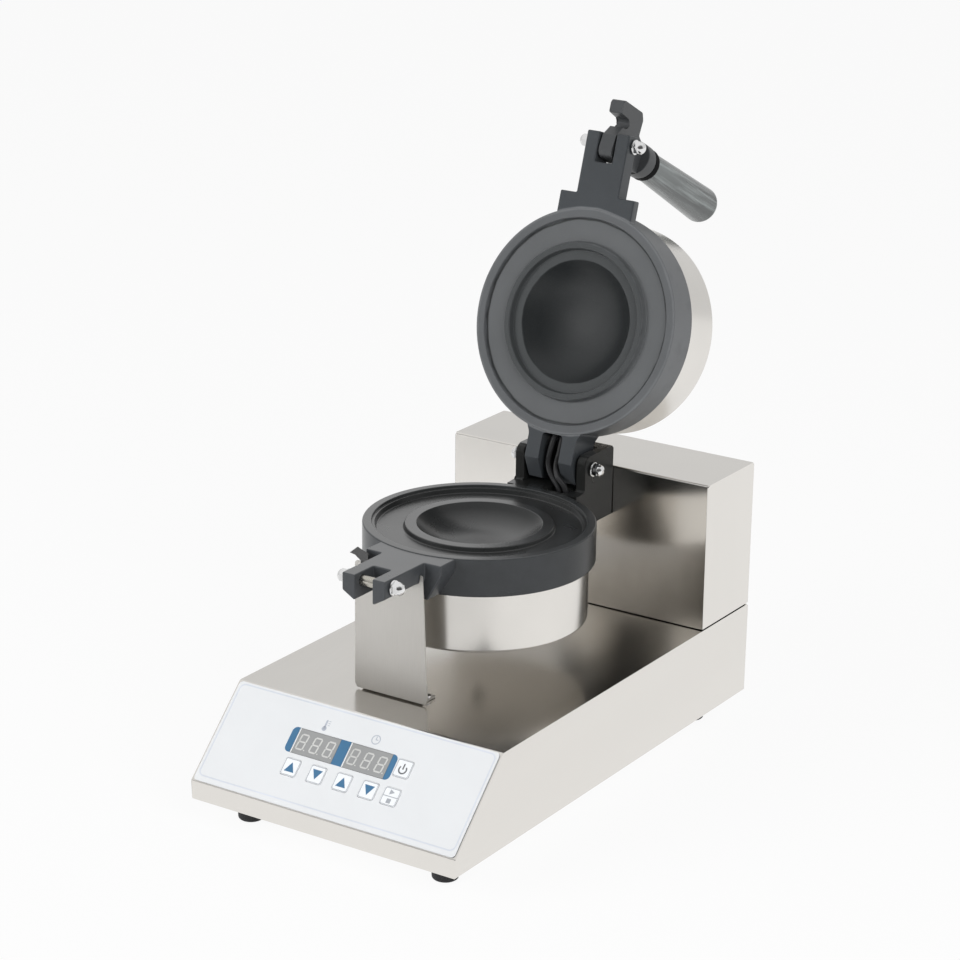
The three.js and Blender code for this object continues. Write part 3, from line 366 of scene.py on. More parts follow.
# The frames that pieces are drawn in, as matrices from millimetres there to the row frame
case_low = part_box("base_housing")[0]
CASE = shift(0, case_low.y, case_low.z) @ Matrix.Scale(mm, 4)
PANEL = CASE @ shift(0, 0, strip_height) @ turn(panel_angle)
LID = CASE @ (shift(0, hinge_y, hinge_z) @ turn(-lid_open) @ shift(0, -hinge_y, -hinge_z))
LEVER = LID @ shift(0, pin_y, lever_z) @ turn(-lever_swing)
TILT = shift(0, 0, handle_offset) @ turn(handle_tilt)
HANDLE = LEVER @ TILT
FLIP = Matrix.Scale(-1, 4, (0, 0, 1))
FORWARD = turn(math.pi / 2)


# Outlines and solids
def outline(corners, steps=6):
    """Points of a closed outline through corners (u, v[, radius]), rounded by arcs."""
    points = []
    for index, corner in enumerate(corners):
        here = Vector(corner[:2])
        radius = corner[2] if len(corner) > 2 else 0
        if radius == 0:
            points.append(here)
            continue
        back = (Vector(corners[index - 1][:2]) - here).normalized()
        ahead = (Vector(corners[(index + 1) % len(corners)][:2]) - here).normalized()
        half = math.acos(max(-1, min(1, back.dot(ahead)))) / 2
        centre = here + (back + ahead).normalized() * radius / math.sin(half)
        start = here + back * radius / math.tan(half) - centre
        end = here + ahead * radius / math.tan(half) - centre
        sweep = math.atan2(start.x * end.y - start.y * end.x, start.dot(end))
        points += [centre + Matrix.Rotation(sweep * step / steps, 2) @ start for step in range(steps + 1)]
    return points


def rounded(u, v, width, height, radius, steps=6):
    """Points of a rectangle with rounded corners, by its middle and size."""
    right, top = width / 2, height / 2
    return outline([(u - right, v - top, radius), (u + right, v - top, radius),
                    (u + right, v + top, radius), (u - right, v + top, radius)], steps)


def rectangle(left, low, right, high):
    """Points of a rectangle by its edges."""
    return outline([(left, low), (right, low), (right, high), (left, high)])


def arc(radius, steps, middle=(0, 0), start=0, end=full_turn):
    """Points along an arc, both ends included."""
    return [Vector(middle) + radius * Vector((math.cos(a), math.sin(a)))
            for a in (start + (end - start) * step / steps for step in range(steps + 1))]


def dome(radius, low, high, steps, core=0):
    """Profile points of a dome between two heights, on a flat middle of the core's radius."""
    return [(core + radius * u, low + (high - low) * v) for u, v in arc(1, steps, end=math.pi / 2)]


def new_object(name, mesh_data):
    """Writes a bmesh to a new object in the scene."""
    data = bpy.data.meshes.new(name)
    mesh_data.normal_update()
    mesh_data.to_mesh(data)
    mesh_data.free()
    piece = bpy.data.objects.new(name, data)
    bpy.context.scene.collection.objects.link(piece)
    return piece


AXES = {"x": lambda u, v, w: (w, u, v), "y": lambda u, v, w: (u, w, v), "z": lambda u, v, w: (u, v, w)}


def push_out(bm, points, axis, low, high):
    """Adds an outline pushed out along an axis, and returns its two ends."""
    first, second = [[bm.verts.new(AXES[axis](*p, w)) for p in points] for w in (low, high)]
    caps = [bm.faces.new(first[::-1]), bm.faces.new(second)]
    for index in range(len(points)):
        after = (index + 1) % len(points)
        bm.faces.new((first[index], first[after], second[after], second[index]))
    return caps


def prism(name, points, axis, low, high, bevel=0, segments=3):
    """An outline pushed out along an axis, with its two end edges rounded."""
    bm = bmesh.new()
    caps = push_out(bm, points, axis, low, high)
    if bevel:
        edges = list({edge for cap in caps for edge in cap.edges})
        bmesh.ops.bevel(bm, geom=edges, offset=bevel, segments=segments, profile=0.5,
                        affect="EDGES", clamp_overlap=True)
    bmesh.ops.recalc_face_normals(bm, faces=bm.faces)
    return new_object(name, bm)


def block(name, low, high):
    """A box between two corners."""
    return prism(name, rectangle(*low[:2], *high[:2]), "z", low[2], high[2])


def bar(name, radius, axis, low, high, middle, bevel=0, steps=64):
    """A round bar along an axis through a middle point."""
    return prism(name, arc(radius, steps, middle)[:-1], axis, low, high, bevel)


def bore(half, y, z):
    """A tool for a pin's bore across a piece of some half width."""
    reach = half + tool_margin
    return bar("bore", pin_radius + gap, "x", -reach, reach, (y, z))


def turned(name, profile, steps=192):
    """A turned body about Z from profile points (radius, height), ending on the axis or closed."""
    bm = bmesh.new()
    rings = []
    for radius, height in profile:
        spokes = arc(radius, steps)[:-1] if radius > on_axis else [(0, 0)]
        rings.append([bm.verts.new((*spoke, height)) for spoke in spokes])
    open_ends = len(rings[0]) == 1 and len(rings[-1]) == 1
    pairs = list(zip(rings, rings[1:])) + ([] if open_ends else [(rings[-1], rings[0])])
    for first, second in pairs:
        for step in range(steps):
            after = (step + 1) % steps
            corners = [first[step % len(first)], first[after % len(first)],
                       second[after % len(second)], second[step % len(second)]]
            face = list(dict.fromkeys(corners))
            if len(face) > 2:
                bm.faces.new(face)
    bmesh.ops.recalc_face_normals(bm, faces=bm.faces)
    return new_object(name, bm)


def bake(piece):
    """Applies a piece's modifiers."""
    graph = bpy.context.evaluated_depsgraph_get()
    data = bpy.data.meshes.new_from_object(piece.evaluated_get(graph))
    piece.modifiers.clear()
    piece.data = data
    return piece


def combined(piece, tools, operation):
    """Joins, cuts or crosses a piece with tools, which are used up."""
    for tool in tools:
        modifier = piece.modifiers.new("shape", "BOOLEAN")
        modifier.object = tool
        modifier.operation = operation
        modifier.solver = "EXACT"
    bake(piece)
    for tool in tools:
        bpy.data.objects.remove(tool)
    return piece


def joined(piece, *tools):
    return combined(piece, tools, "UNION")


def cut(piece, *tools):
    return combined(piece, tools, "DIFFERENCE")


def eased(piece, width, angle=35):
    """Rounds every edge that is sharper than an angle."""
    modifier = piece.modifiers.new("edges", "BEVEL")
    modifier.width = width
    modifier.segments = 3
    modifier.limit_method = "ANGLE"
    modifier.angle_limit = math.radians(angle)
    modifier.miter_outer = "MITER_ARC"
    return bake(piece)


def moved(piece, matrix):
    """Moves a piece's mesh, and keeps its faces pointing out when the move mirrors it."""
    piece.data.transform(matrix)
    if matrix.determinant() < 0:
        piece.data.flip_normals()
    return piece


def tube_mesh(name, points, radius, sides=20, per_span=10):
    """A round tube along a smooth curve through points."""
    path = smooth_path(points, per_span)
    bm = bmesh.new()
    rings = []
    side = Vector((1, 0, 0))
    for index, here in enumerate(path):
        before = path[max(index - 1, 0)]
        after = path[min(index + 1, len(path) - 1)]
        along = (after - before).normalized()
        side = (side - along * side.dot(along)).normalized()
        up = along.cross(side)
        rings.append([bm.verts.new(here + u * side + v * up) for u, v in arc(radius, sides)[:-1]])
    for first, second in zip(rings, rings[1:]):
        for step in range(sides):
            after = (step + 1) % sides
            bm.faces.new((first[step], first[after], second[after], second[step]))
    bm.faces.new(rings[0][::-1])
    bm.faces.new(rings[-1])
    bmesh.ops.recalc_face_normals(bm, faces=bm.faces)
    return new_object(name, bm)


def smooth_path(points, per_span):
    """Points of a smooth curve through the given ones."""
    knots = [2 * points[0] - points[1], *points, 2 * points[-1] - points[-2]]
    path = []
    for a, b, c, d in zip(knots, knots[1:], knots[2:], knots[3:]):
        for step in range(per_span):
            t = step / per_span
            path.append(0.5 * (2 * b + (c - a) * t + (2 * a - 5 * b + 4 * c - d) * t ** 2
                               + (3 * b - a - 3 * c + d) * t ** 3))
    path.append(knots[-2])
    return path


def dressed(piece, body, material, slot, *nodes, matrix=CASE, angle=35):
    """Places a finished piece in the row frame, with its material, body and replaced nodes; the slot is not
    used.
    """
    moved(piece, matrix)
    piece.data.materials.clear()
    piece.data.materials.append(material)
    piece.data.shade_smooth()
    piece.data.set_sharp_from_angle(angle=math.radians(angle))
    modifier = piece.modifiers.new("normals", "WEIGHTED_NORMAL")
    modifier.keep_sharp = True
    bake(piece)
    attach(piece, body)
    if nodes:
        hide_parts(*nodes)


# Materials
class Recipe:
    """A small helper that adds and links the nodes of one material or world."""

    def __init__(self, owner):
        owner.use_nodes = True
        self.owner = owner
        self.nodes = owner.node_tree.nodes
        self.links = owner.node_tree.links
        self.shader = self.nodes.get("Principled BSDF")
        self.coordinates = self.nodes.new("ShaderNodeTexCoord")
        self.place = self.coordinates.outputs["Object"]

    def add(self, kind, **values):
        """Adds a node; values are its sockets by name with _ for a space, or its properties."""
        node = self.nodes.new(f"ShaderNode{kind}")
        for key, value in values.items():
            if hasattr(node, key):
                setattr(node, key, value)
            else:
                self.feed(node.inputs[key.replace("_", " ")], value)
        return node

    def feed(self, socket, value):
        """Links a socket to another, or sets its value."""
        if isinstance(value, bpy.types.NodeSocket):
            self.links.new(value, socket)
        else:
            socket.default_value = value

    def set(self, **values):
        """Sets or links sockets of the shader, by name with _ for a space."""
        for key, value in values.items():
            self.feed(self.shader.inputs[key.replace("_", " ")], value)
        return self.owner

    def noise(self, scale, detail=3, stretch=(1, 1, 1), roughness=0.5):
        """Noise at a scale in cells per metre, stretched along the axes."""
        mapping = self.add("Mapping", Vector=self.place, Scale=stretch)
        node = self.add("TexNoise", Vector=mapping.outputs[0], Scale=scale, Detail=detail,
                        Roughness=roughness)
        return node.outputs["Fac"]

    def measured(self, centre, angles):
        """Places as seen from a centre with turned axes."""
        return self.add("Mapping", Vector=self.place, vector_type="TEXTURE", Location=centre,
                        Rotation=angles).outputs[0]

    def spread(self, value, low, high, start=0.3, end=0.7, **kind):
        """Maps a value from the range of start and end to the range of low and high."""
        return self.add("MapRange", Value=value, From_Min=start, From_Max=end, To_Min=low, To_Max=high,
                        **kind).outputs[0]

    def ramp(self, value, low, high, start, end):
        """Maps a value as spread does, but smoothly."""
        return self.spread(value, low, high, start, end, interpolation_type="SMOOTHSTEP")

    def calculate(self, operation, *values, kind="Math"):
        """Joins values, each a socket, a number or a vector."""
        node = self.add(kind, operation=operation)
        for socket, value in zip(node.inputs, values):
            self.feed(socket, value)
        return node.outputs[1 if operation in ("LENGTH", "DOT_PRODUCT") else 0]

    def mix(self, fac, first, second):
        """Mixes two colours by a factor."""
        node = self.add("Mix", data_type="RGBA")
        self.feed(node.inputs[0], fac)
        colours = [socket for socket in node.inputs if socket.type == "RGBA"]
        for socket, colour in zip(colours, (first, second)):
            self.feed(socket, colour if isinstance(colour, bpy.types.NodeSocket) else (*colour, 1))
        return next(socket for socket in node.outputs if socket.type == "RGBA")

    def choose(self, fac, first, second):
        """Mixes two shaders by a factor."""
        node = self.add("MixShader")
        for socket, value in zip(node.inputs, (fac, first, second)):
            self.feed(socket, value)
        return node.outputs[0]

    def bump(self, height, strength, distance):
        """A bump from a height, with its depth in millimetres."""
        node = self.add("Bump", Height=height, Strength=strength, Distance=distance * mm)
        self.set(Normal=node.outputs[0])


def scaled(colour, factor):
    return tuple(min(1, channel * factor) for channel in colour)


def lined(recipe, colour, lines, cloud, darkest):
    """The colour of brushed sheet from its lines and a slow cloud, with the lines' bump."""
    tone = recipe.mix(recipe.spread(cloud, 0, 1), scaled(colour, 0.97), scaled(colour, 1.03))
    recipe.bump(lines, strength=0.35, distance=0.002)
    return recipe.mix(recipe.spread(lines, 0, 1), scaled(colour, darkest), tone)


def brushed(name, colour, along, roughness):
    """Brushed sheet, with its lines along one axis of the row frame."""
    recipe = Recipe(bpy.data.materials.new(name))
    stretch, broad = [tuple(share if axis == along else 1 for axis in "xyz") for share in (0.01, 0.15)]
    lines = recipe.noise(5200, 2, stretch, 0.6)
    cloud = recipe.noise(22, 3, broad)
    return recipe.set(
        Base_Color=lined(recipe, colour, lines, cloud, 0.95),
        Metallic=1.0,
        Roughness=recipe.spread(cloud, roughness - 0.03, roughness + 0.04),
    )


def spun(name, colour, centre, axis):
    """Sheet brushed round a drum, with rings round its axis and slow bands along it."""
    recipe = Recipe(bpy.data.materials.new(name))
    split = recipe.add("SeparateXYZ", Vector=recipe.measured(centre, axis))
    rings = recipe.add("TexNoise", noise_dimensions="1D", W=split.outputs["Z"], Scale=3600, Detail=3)
    lines = rings.outputs["Fac"]
    return recipe.set(
        Base_Color=lined(recipe, colour, lines, recipe.noise(30), 0.94),
        Metallic=1.0,
        Roughness=recipe.spread(lines, 0.2, 0.27),
    )


def cast_coat(name, zones, outer, centre, axis, roughness, gloss, shine=0):
    """Cast metal under a non-stick coat with fine grain. Zones are (radius, colour, blur) round the
    plate's axis, from the middle out, with edges made ragged by noise; besides the coat's own colours
    they hold painted light and shade. Beyond them lie two outer colours, at the front and at the
    back; where these differ, the back is painted darker as shade. Shine is how much of a clear coat
    the worked faces, which point up, have."""
    recipe = Recipe(bpy.data.materials.new(name))
    grain = recipe.noise(1100, 2)
    cloud = recipe.noise(24, 4)
    speck = recipe.noise(2600, 2)
    place = recipe.measured(centre, axis)
    flat = recipe.add("Mapping", Vector=place, Scale=(1, 1, 0))
    radius = recipe.calculate("LENGTH", flat.outputs[0], kind="VectorMath")
    ragged_radius = recipe.calculate("MULTIPLY_ADD", recipe.noise(60, 2), 2 * mm, radius)
    split = recipe.add("SeparateXYZ", Vector=place)
    # Painted shade: where the front and back colours differ, the back is painted darker.
    colour = recipe.mix(recipe.spread(split.outputs["Y"], 0, 1, -30 * mm, 30 * mm), *outer)
    # Zones paint the coat's own colours and also painted light and shade, each edge ragged by noise.
    for reach, inner, blur in reversed(zones):
        edge = reach + 1
        step = recipe.spread(ragged_radius, 0, 1, (edge - blur) * mm, (edge + blur) * mm)
        colour = recipe.mix(step, inner, colour)
    soft = recipe.mix(recipe.spread(cloud, 0, 1, 0.35, 0.7), (0.87, 0.87, 0.87), (1, 1, 1))
    toned = recipe.calculate("MULTIPLY", colour, soft, kind="VectorMath")
    recipe.bump(grain, strength=0.3, distance=0.02)
    if shine:
        facing = recipe.add("SeparateXYZ", Vector=recipe.coordinates.outputs["Normal"])
        recipe.set(
            Coat_Weight=recipe.spread(facing.outputs["Z"], 0, shine, 0.75, 0.95),
            Coat_Roughness=0.27,
            Coat_IOR=1.8,
        )
    return recipe.set(
        Base_Color=recipe.mix(recipe.spread(speck, 0, 0.2, 0.62, 0.72), toned, (0.16, 0.16, 0.16)),
        Roughness=recipe.spread(cloud, roughness - 0.04, roughness + 0.05),
        Specular_IOR_Level=gloss,
    )


def streaked(name, colour, direction):
    """Phenolic with paler streaks painted along the handle, as painted reflections on its glossy surface."""
    recipe = Recipe(bpy.data.materials.new(name))
    stretch = recipe.add("Mapping", Vector=recipe.measured((0, 0, 0), direction), Scale=(1, 0.05, 1))
    sheen_streak, broad = [
        recipe.add("TexNoise", Vector=stretch.outputs[0], Scale=scale, Detail=detail).outputs["Fac"]
        for scale, detail in ((260, 3), (90, 2))
    ]
    tone = recipe.mix(recipe.spread(broad, 0, 1), scaled(colour, 0.5), scaled(colour, 1.35))
    recipe.bump(sheen_streak, strength=0.25, distance=0.08)
    return recipe.set(
        # Painted reflection: the paler streaks along the grip.
        Base_Color=recipe.mix(recipe.spread(sheen_streak, 0, 1, 0.5, 0.72), tone, scaled(colour, 2.4)),
        Roughness=recipe.spread(broad, 0.2, 0.34),
        Coat_Weight=0.3,
        Coat_Roughness=0.12,
    )


def plain(name, colour, roughness, metallic=0.0, grain=1200, depth=0.03, contrast=0.08, gloss=0.5):
    """An even finish with fine grain and a slight cloud of colour."""
    recipe = Recipe(bpy.data.materials.new(name))
    fine = recipe.noise(grain)
    cloud = recipe.spread(recipe.noise(30), 0, 1)
    recipe.bump(fine, strength=0.3, distance=depth)
    return recipe.set(
        Base_Color=recipe.mix(cloud, scaled(colour, 1 - contrast), scaled(colour, 1 + contrast)),
        Metallic=metallic,
        Roughness=recipe.spread(fine, roughness - 0.05, roughness + 0.05),
        Specular_IOR_Level=gloss,
    )


def ink(name, colour, roughness=0.4, contrast=0.08):
    """Film or print, with a very fine grain."""
    return plain(name, colour, roughness, 0.0, 3000, 0.004, contrast)


steel_tone = (0.79, 0.766, 0.728)
steel_along_y = brushed("brushed_along_y", steel_tone, "y", 0.2)
dull_steel = brushed("dull_sheet", (0.75, 0.73, 0.695), "z", 0.52)
steel_along_z = brushed("brushed_along_z", steel_tone, "z", 0.16)
upright = (0, 0, 0)
lid_axis = (-lid_open, 0, 0)
lower_centre, lid_centre = [matrix @ Vector((0, mould_y, parting_z)) for matrix in (CASE, LID)]
drum_lower_steel = spun("drum_lower_steel", steel_tone, lower_centre, upright)
drum_upper_steel = spun("drum_upper_steel", steel_tone, lid_centre, lid_axis)
lower_coat = cast_coat("lower_coat", [
    (lower_bowl_radius, (0.024, 0.025, 0.025), 0.6),
    (lower_ring_outer, (0.03, 0.031, 0.0315), 0.6),
    (rim_inner, (0.022, 0.023, 0.023), 0.6),
    (mould_radius, (0.036, 0.038, 0.039), 2),
# Painted shade: the ears, deck and web at the hinge get a far darker outer colour than the tongue at the
# front.
], [(0.058, 0.062, 0.067), (0.014, 0.0145, 0.014)], lower_centre, upright, 0.29, 0.25, 0.9)
upper_coat = cast_coat("upper_coat", [
    # Painted highlight: the middle of the lid's bowl is painted lighter, fading out over a wide blur.
    (22, (0.04, 0.042, 0.043), 16),
    (upper_bowl_radius, (0.013, 0.015, 0.016), 0.6),
    (upper_ring_outer, (0.052, 0.056, 0.058), 0.6),
    (rim_inner - 2.2, (0.105, 0.11, 0.114), 0.4),
    # Painted shade: a dark line on the recess wall, where the wall lies in shade.
    (rim_inner - 0.8, (0.03, 0.032, 0.033), 0.4),
    (mould_radius - 1.8, (0.1, 0.105, 0.11), 0.5),
    # Painted light: the rounded outer edge and the side band are painted lighter than the rim, where light
    # catches them.
    (mould_radius + 0.7, (0.14, 0.146, 0.152), 0.6),
], [(0.045, 0.05, 0.055)] * 2, lid_centre, lid_axis, 0.38, 0.4)
lever_coat = cast_coat("lever_coat", [], [(0.06, 0.063, 0.066)] * 2, lid_centre, lid_axis, 0.38, 0.4)
phenolic = streaked("phenolic", (0.12, 0.132, 0.131), (handle_tilt - lid_open - lever_swing, 0, 0))
phenolic_dark = plain("phenolic_dark", (0.005, 0.005, 0.0055), 0.6, gloss=0.05)
# Stainless painted dark for the bracket's curl: painted shade and a painted reflection of the black casting.
painted_shade_steel = plain("painted_shade_steel", (0.13, 0.13, 0.13), 0.36, 1.0, 2400, 0.01)
bright = plain("bright_plate", (0.8, 0.8, 0.8), 0.08, 1.0, 400, 0.004, 0.02)
turned_steel = plain("turned_steel", (0.5, 0.48, 0.43), 0.25, 1.0, 2400, 0.01)
rubber = plain("black_rubber", (0.018, 0.018, 0.019), 0.7)
film = ink("white_film", (0.7, 0.715, 0.73), 0.38, 0.012)
key_film = ink("key_film", (0.8, 0.82, 0.84), 0.34, 0.012)
blue_print = ink("blue_print", (0.05, 0.152, 0.278), 0.42)
border_print = ink("border_print", (0.6, 0.63, 0.69))
symbol_print = ink("symbol_print", (0.42, 0.45, 0.51))
grey_print = ink("grey_print", (0.34, 0.36, 0.39))
dark_print = ink("dark_print", (0.1, 0.105, 0.115))
window_grey = plain("window_grey", (0.285, 0.29, 0.29), 0.2, 0.0, 500, 0.002, 0.04)
digit_pale = ink("digit_pale", (0.53, 0.53, 0.52), 0.3)
white_print = ink("white_print", (0.8, 0.81, 0.82), 0.35)
sleeve = plain("lead_sleeve", (0.02, 0.02, 0.021), 0.32, 0.0, 1500, 0.05)
black_plastic = plain("black_plastic", (0.02, 0.02, 0.022), 0.45)
grey_plastic = plain("grey_plastic", (0.45, 0.46, 0.47), 0.45)
ceramic = plain("pale_ceramic", (0.76, 0.72, 0.64), 0.5)
board_green = plain("board_green", (0.03, 0.13, 0.06), 0.4)


# Camera at the photograph's place
def camera():
    azimuth, elevation, roll = (math.radians(angle) for angle in (33.27, 18.67, 0.75))
    focal_share = 2941 / 960
    sensor = 36
    place = CASE @ Vector((1171.2, -1576.7, 941.2))
    back = Vector((math.sin(azimuth) * math.cos(elevation),
                   -math.cos(azimuth) * math.cos(elevation), math.sin(elevation)))
    right = Vector((math.cos(azimuth), math.sin(azimuth), 0))
    up = back.cross(right)
    basis = Matrix((right, up, back)).transposed().to_4x4()
    data = bpy.data.cameras.new("camera")
    data.sensor_width = sensor
    data.lens = focal_share * sensor
    data.clip_start, data.clip_end = 0.05, 50
    eye = bpy.data.objects.new("camera", data)
    bpy.context.scene.collection.objects.link(eye)
    eye.matrix_world = Matrix.Translation(place) @ basis @ turn(roll, "Z")
    bpy.context.scene.camera = eye


# Case
def key_spots():
    """Middles of the keys on the slope: four arrows, power, and start with stop."""
    arrows = [(key_first_x + index * key_pitch, key_row) for index in range(4)]
    return [*arrows, (key_side_x, key_power_s), (key_side_x, key_row)]


def window_openings():
    """Outlines of the openings for the two displays."""
    return [rounded(x, window_s, window_width + 2 * gap, window_height + 2 * gap, 0)
            for x in window_xs.values()]


def panel_holes(low, high):
    """Tools for the openings of the keys and displays, between two heights over the slope."""
    opening = key_size + 2 * gap
    shapes = [rounded(x, s, opening, opening, key_corner + gap) for x, s in key_spots()]
    return [prism("hole", points, "z", low, high) for points in shapes + window_openings()]


def case_shell():
    profile = outline([(0, 0), (base_depth, 0), (base_depth, base_height, fold_radius),
                       (panel_run, base_height, 2 * fold_radius), (0, strip_height, fold_radius)])
    shell = prism("case_shell", profile, "x", -half_width, half_width, case_edge)
    inner = outline([(sheet, -overrun), (base_depth - sheet, -overrun),
                     (base_depth - sheet, base_height - sheet),
                     (panel_run + sheet / 2, base_height - sheet), (sheet, strip_height - sheet / 2)])
    room = prism("room", inner, "x", sheet - half_width, half_width - sheet)
    holes = [moved(hole, CASE.inverted() @ PANEL) for hole in panel_holes(-sheet - overrun, overrun)]
    cut(shell, room, *holes)
    dressed(shell, "base", steel_along_y, "stainless", "base_housing", angle=30)


def rear_case():
    low = base_height + housing_seam
    top = low + housing_height
    profile = outline([(housing_front, low), (base_depth, low), (base_depth, top, fold_radius),
                       (housing_front, top, fold_radius)])
    box = prism("rear_case", profile, "x", -half_width, half_width, case_edge)
    room = block("room", (sheet - half_width, housing_front + sheet, low - overrun),
                 (half_width - sheet, base_depth - sheet, top - sheet))
    inlet_low, inlet_high = [CASE.inverted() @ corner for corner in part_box("power_inlet")]
    middle, size = (inlet_low + inlet_high) / 2, inlet_high - inlet_low
    opening = rounded(middle.x, middle.z, size.x - inlet_ears, size.z - inlet_edge, 0)
    cut(box, room, prism("hole", opening, "y", base_depth - sheet - overrun, base_depth + overrun))
    dressed(box, "base", steel_along_z, "stainless", "rear_housing", angle=30)


def feet():
    profile = outline([(0, -foot_height), (foot_radius, -foot_height, foot_edge),
                       (foot_top_radius, -gap, foot_top_edge), (0, -gap)])
    for end, y in (("front", foot_end_inset), ("rear", base_depth - foot_end_inset)):
        for name, side in SIDES.items():
            foot = turned(f"rubber_foot_{end}_{name}", profile, 64)
            moved(foot, shift(side * (half_width - foot_side_inset), y, 0))
            dressed(foot, "base", rubber, "rubber", f"foot_{end}_{name}")


# Castings
def plate(name, face_corners, bowl_radius, bowl_edge):
    """A round plate, face up at height 0; face_corners run from the rim's inner edge to the bowl."""
    corners = [(0, -mould_thickness), (mould_radius, -mould_thickness, edge_round),
               (mould_radius, 0, edge_round), (rim_inner, 0, rim_inner_edge), *face_corners]
    bowl = [(bowl_radius * share, bowl_edge - bowl_depth * (1 - share ** 3))
            for share in (1 - (step + 1) / bowl_steps for step in range(bowl_steps))]
    return turned(name, outline([*corners, *bowl], 5))


def tongue(name, tongue_reach, shoulder_reach):
    """Forked tongue with its shoulder, face at height 0."""
    tip = mould_y - tongue_reach
    inner = mould_y - rim_inner + overlap
    section = outline([(-tongue_half, 0), (-tongue_half, -tongue_side),
                       (tongue_chamfer - tongue_half, -tongue_thickness),
                       (tongue_half - tongue_chamfer, -tongue_thickness),
                       (tongue_half, -tongue_side), (tongue_half, 0)])
    body = prism(name, section, "y", tip, inner)
    slot = prism("slot", rectangle(-fork_half, tip - overrun, fork_half, tip + fork_depth),
                 "z", -tongue_thickness - overrun, overrun)
    foot = mould_thickness - face_z
    wings = prism("wings", outline([(-shoulder_half, 0), (-shoulder_half, -shoulder_side),
                                    (-shoulder_foot_half, -foot), (shoulder_foot_half, -foot),
                                    (shoulder_half, -shoulder_side), (shoulder_half, 0)]),
                  "y", mould_y - shoulder_reach, inner)
    joined(cut(body, slot), wings)
    return eased(body, tongue_easing)


def recess_room(flip):
    """The space of the recess, which the tongue and the deck leave free."""
    reach = rim_inner + edge_round
    room = turned("room", rectangle(0, -mould_thickness / 2, reach, tool_margin))
    return moved(room, shift(0, mould_y, parting_z) @ flip)


def lower_casting():
    face = parting_z - gap
    low = face - mould_thickness
    deck = face - rim_proud
    back = housing_front - gap
    top = hinge_z + ear_rise
    ledge = rim_inner - lower_ledge_width
    body = plate("lower_casting", [
        (rim_inner, -lower_ledge_depth, ledge_edge), (ledge, -lower_ledge_depth, ledge_fillet),
        (ledge - wall_draft, -lower_recess, recess_fillet),
        (lower_ring_outer + wall_draft, -lower_recess, recess_fillet),
        (lower_ring_outer, -lower_ring_top, ring_edge),
        (lower_bowl_radius, -lower_ring_top, bowl_edge_round),
    ], lower_bowl_radius, -lower_ring_top)
    moved(body, shift(0, mould_y, face))
    front = moved(tongue("front", lower_tongue_reach, lower_shoulder_reach), shift(0, 0, deck))
    foot_y = hinge_y - ear_foot_reach
    ear_shape = outline([(foot_y, low + ear_corner), (foot_y + ear_corner, low, ear_foot_corner),
                         (back, low), (back, top, ear_top_corner),
                         (hinge_y - ear_front, top, ear_corner),
                         (hinge_y - ear_front, deck, ear_top_corner), (foot_y, deck)])
    ears = [prism("ear", ear_shape, "x", *sorted((side * ear_inner, side * ear_outer)), ear_edge)
            for side in SIDES.values()]
    reach = ear_inner + overlap
    floor_plate = block("deck", (-reach, mould_y + rim_inner, deck - deck_thickness), (reach, back, deck))
    web = prism("web", stop_web(low, back, top), "x", -reach, reach)
    passage = rounded(lead_hole_x, hinge_y - lead_hole_ahead, lead_hole_width, lead_hole_depth,
                      lead_hole_corner)
    lead_hole = prism("hole", passage, "z", deck - deck_thickness - tool_margin, deck + overrun)
    extras = joined(front, *ears, floor_plate, web)
    cut(extras, recess_room(Matrix()))
    joined(body, extras)
    web_hole = bar("bore", web_hole_radius, "y", hinge_y, back + overrun,
                   (lead_hole_x, hinge_z - web_hole_drop))
    cut(body, lead_hole, web_hole, bore(tongue_half, pin_y, catch_z), bore(ear_outer, hinge_y, hinge_z))
    dressed(body, "base", lower_coat, "nonstick_cast", "lower_mould")


def stop_web(low, back, top):
    """Web between the ears, whose front leans back where the open lid rests on it."""
    reach = hinge_rise - face_z + gap
    along = Vector((-math.cos(lid_open), math.sin(lid_open)))
    across = Vector((math.sin(lid_open), math.cos(lid_open)))
    rest = Vector((hinge_y, hinge_z)) + reach * across
    crest = rest + along * (top - rest.y) / along.y
    return outline([(rest.x, low), (back, low), (back, top, ear_top_corner), crest, rest])


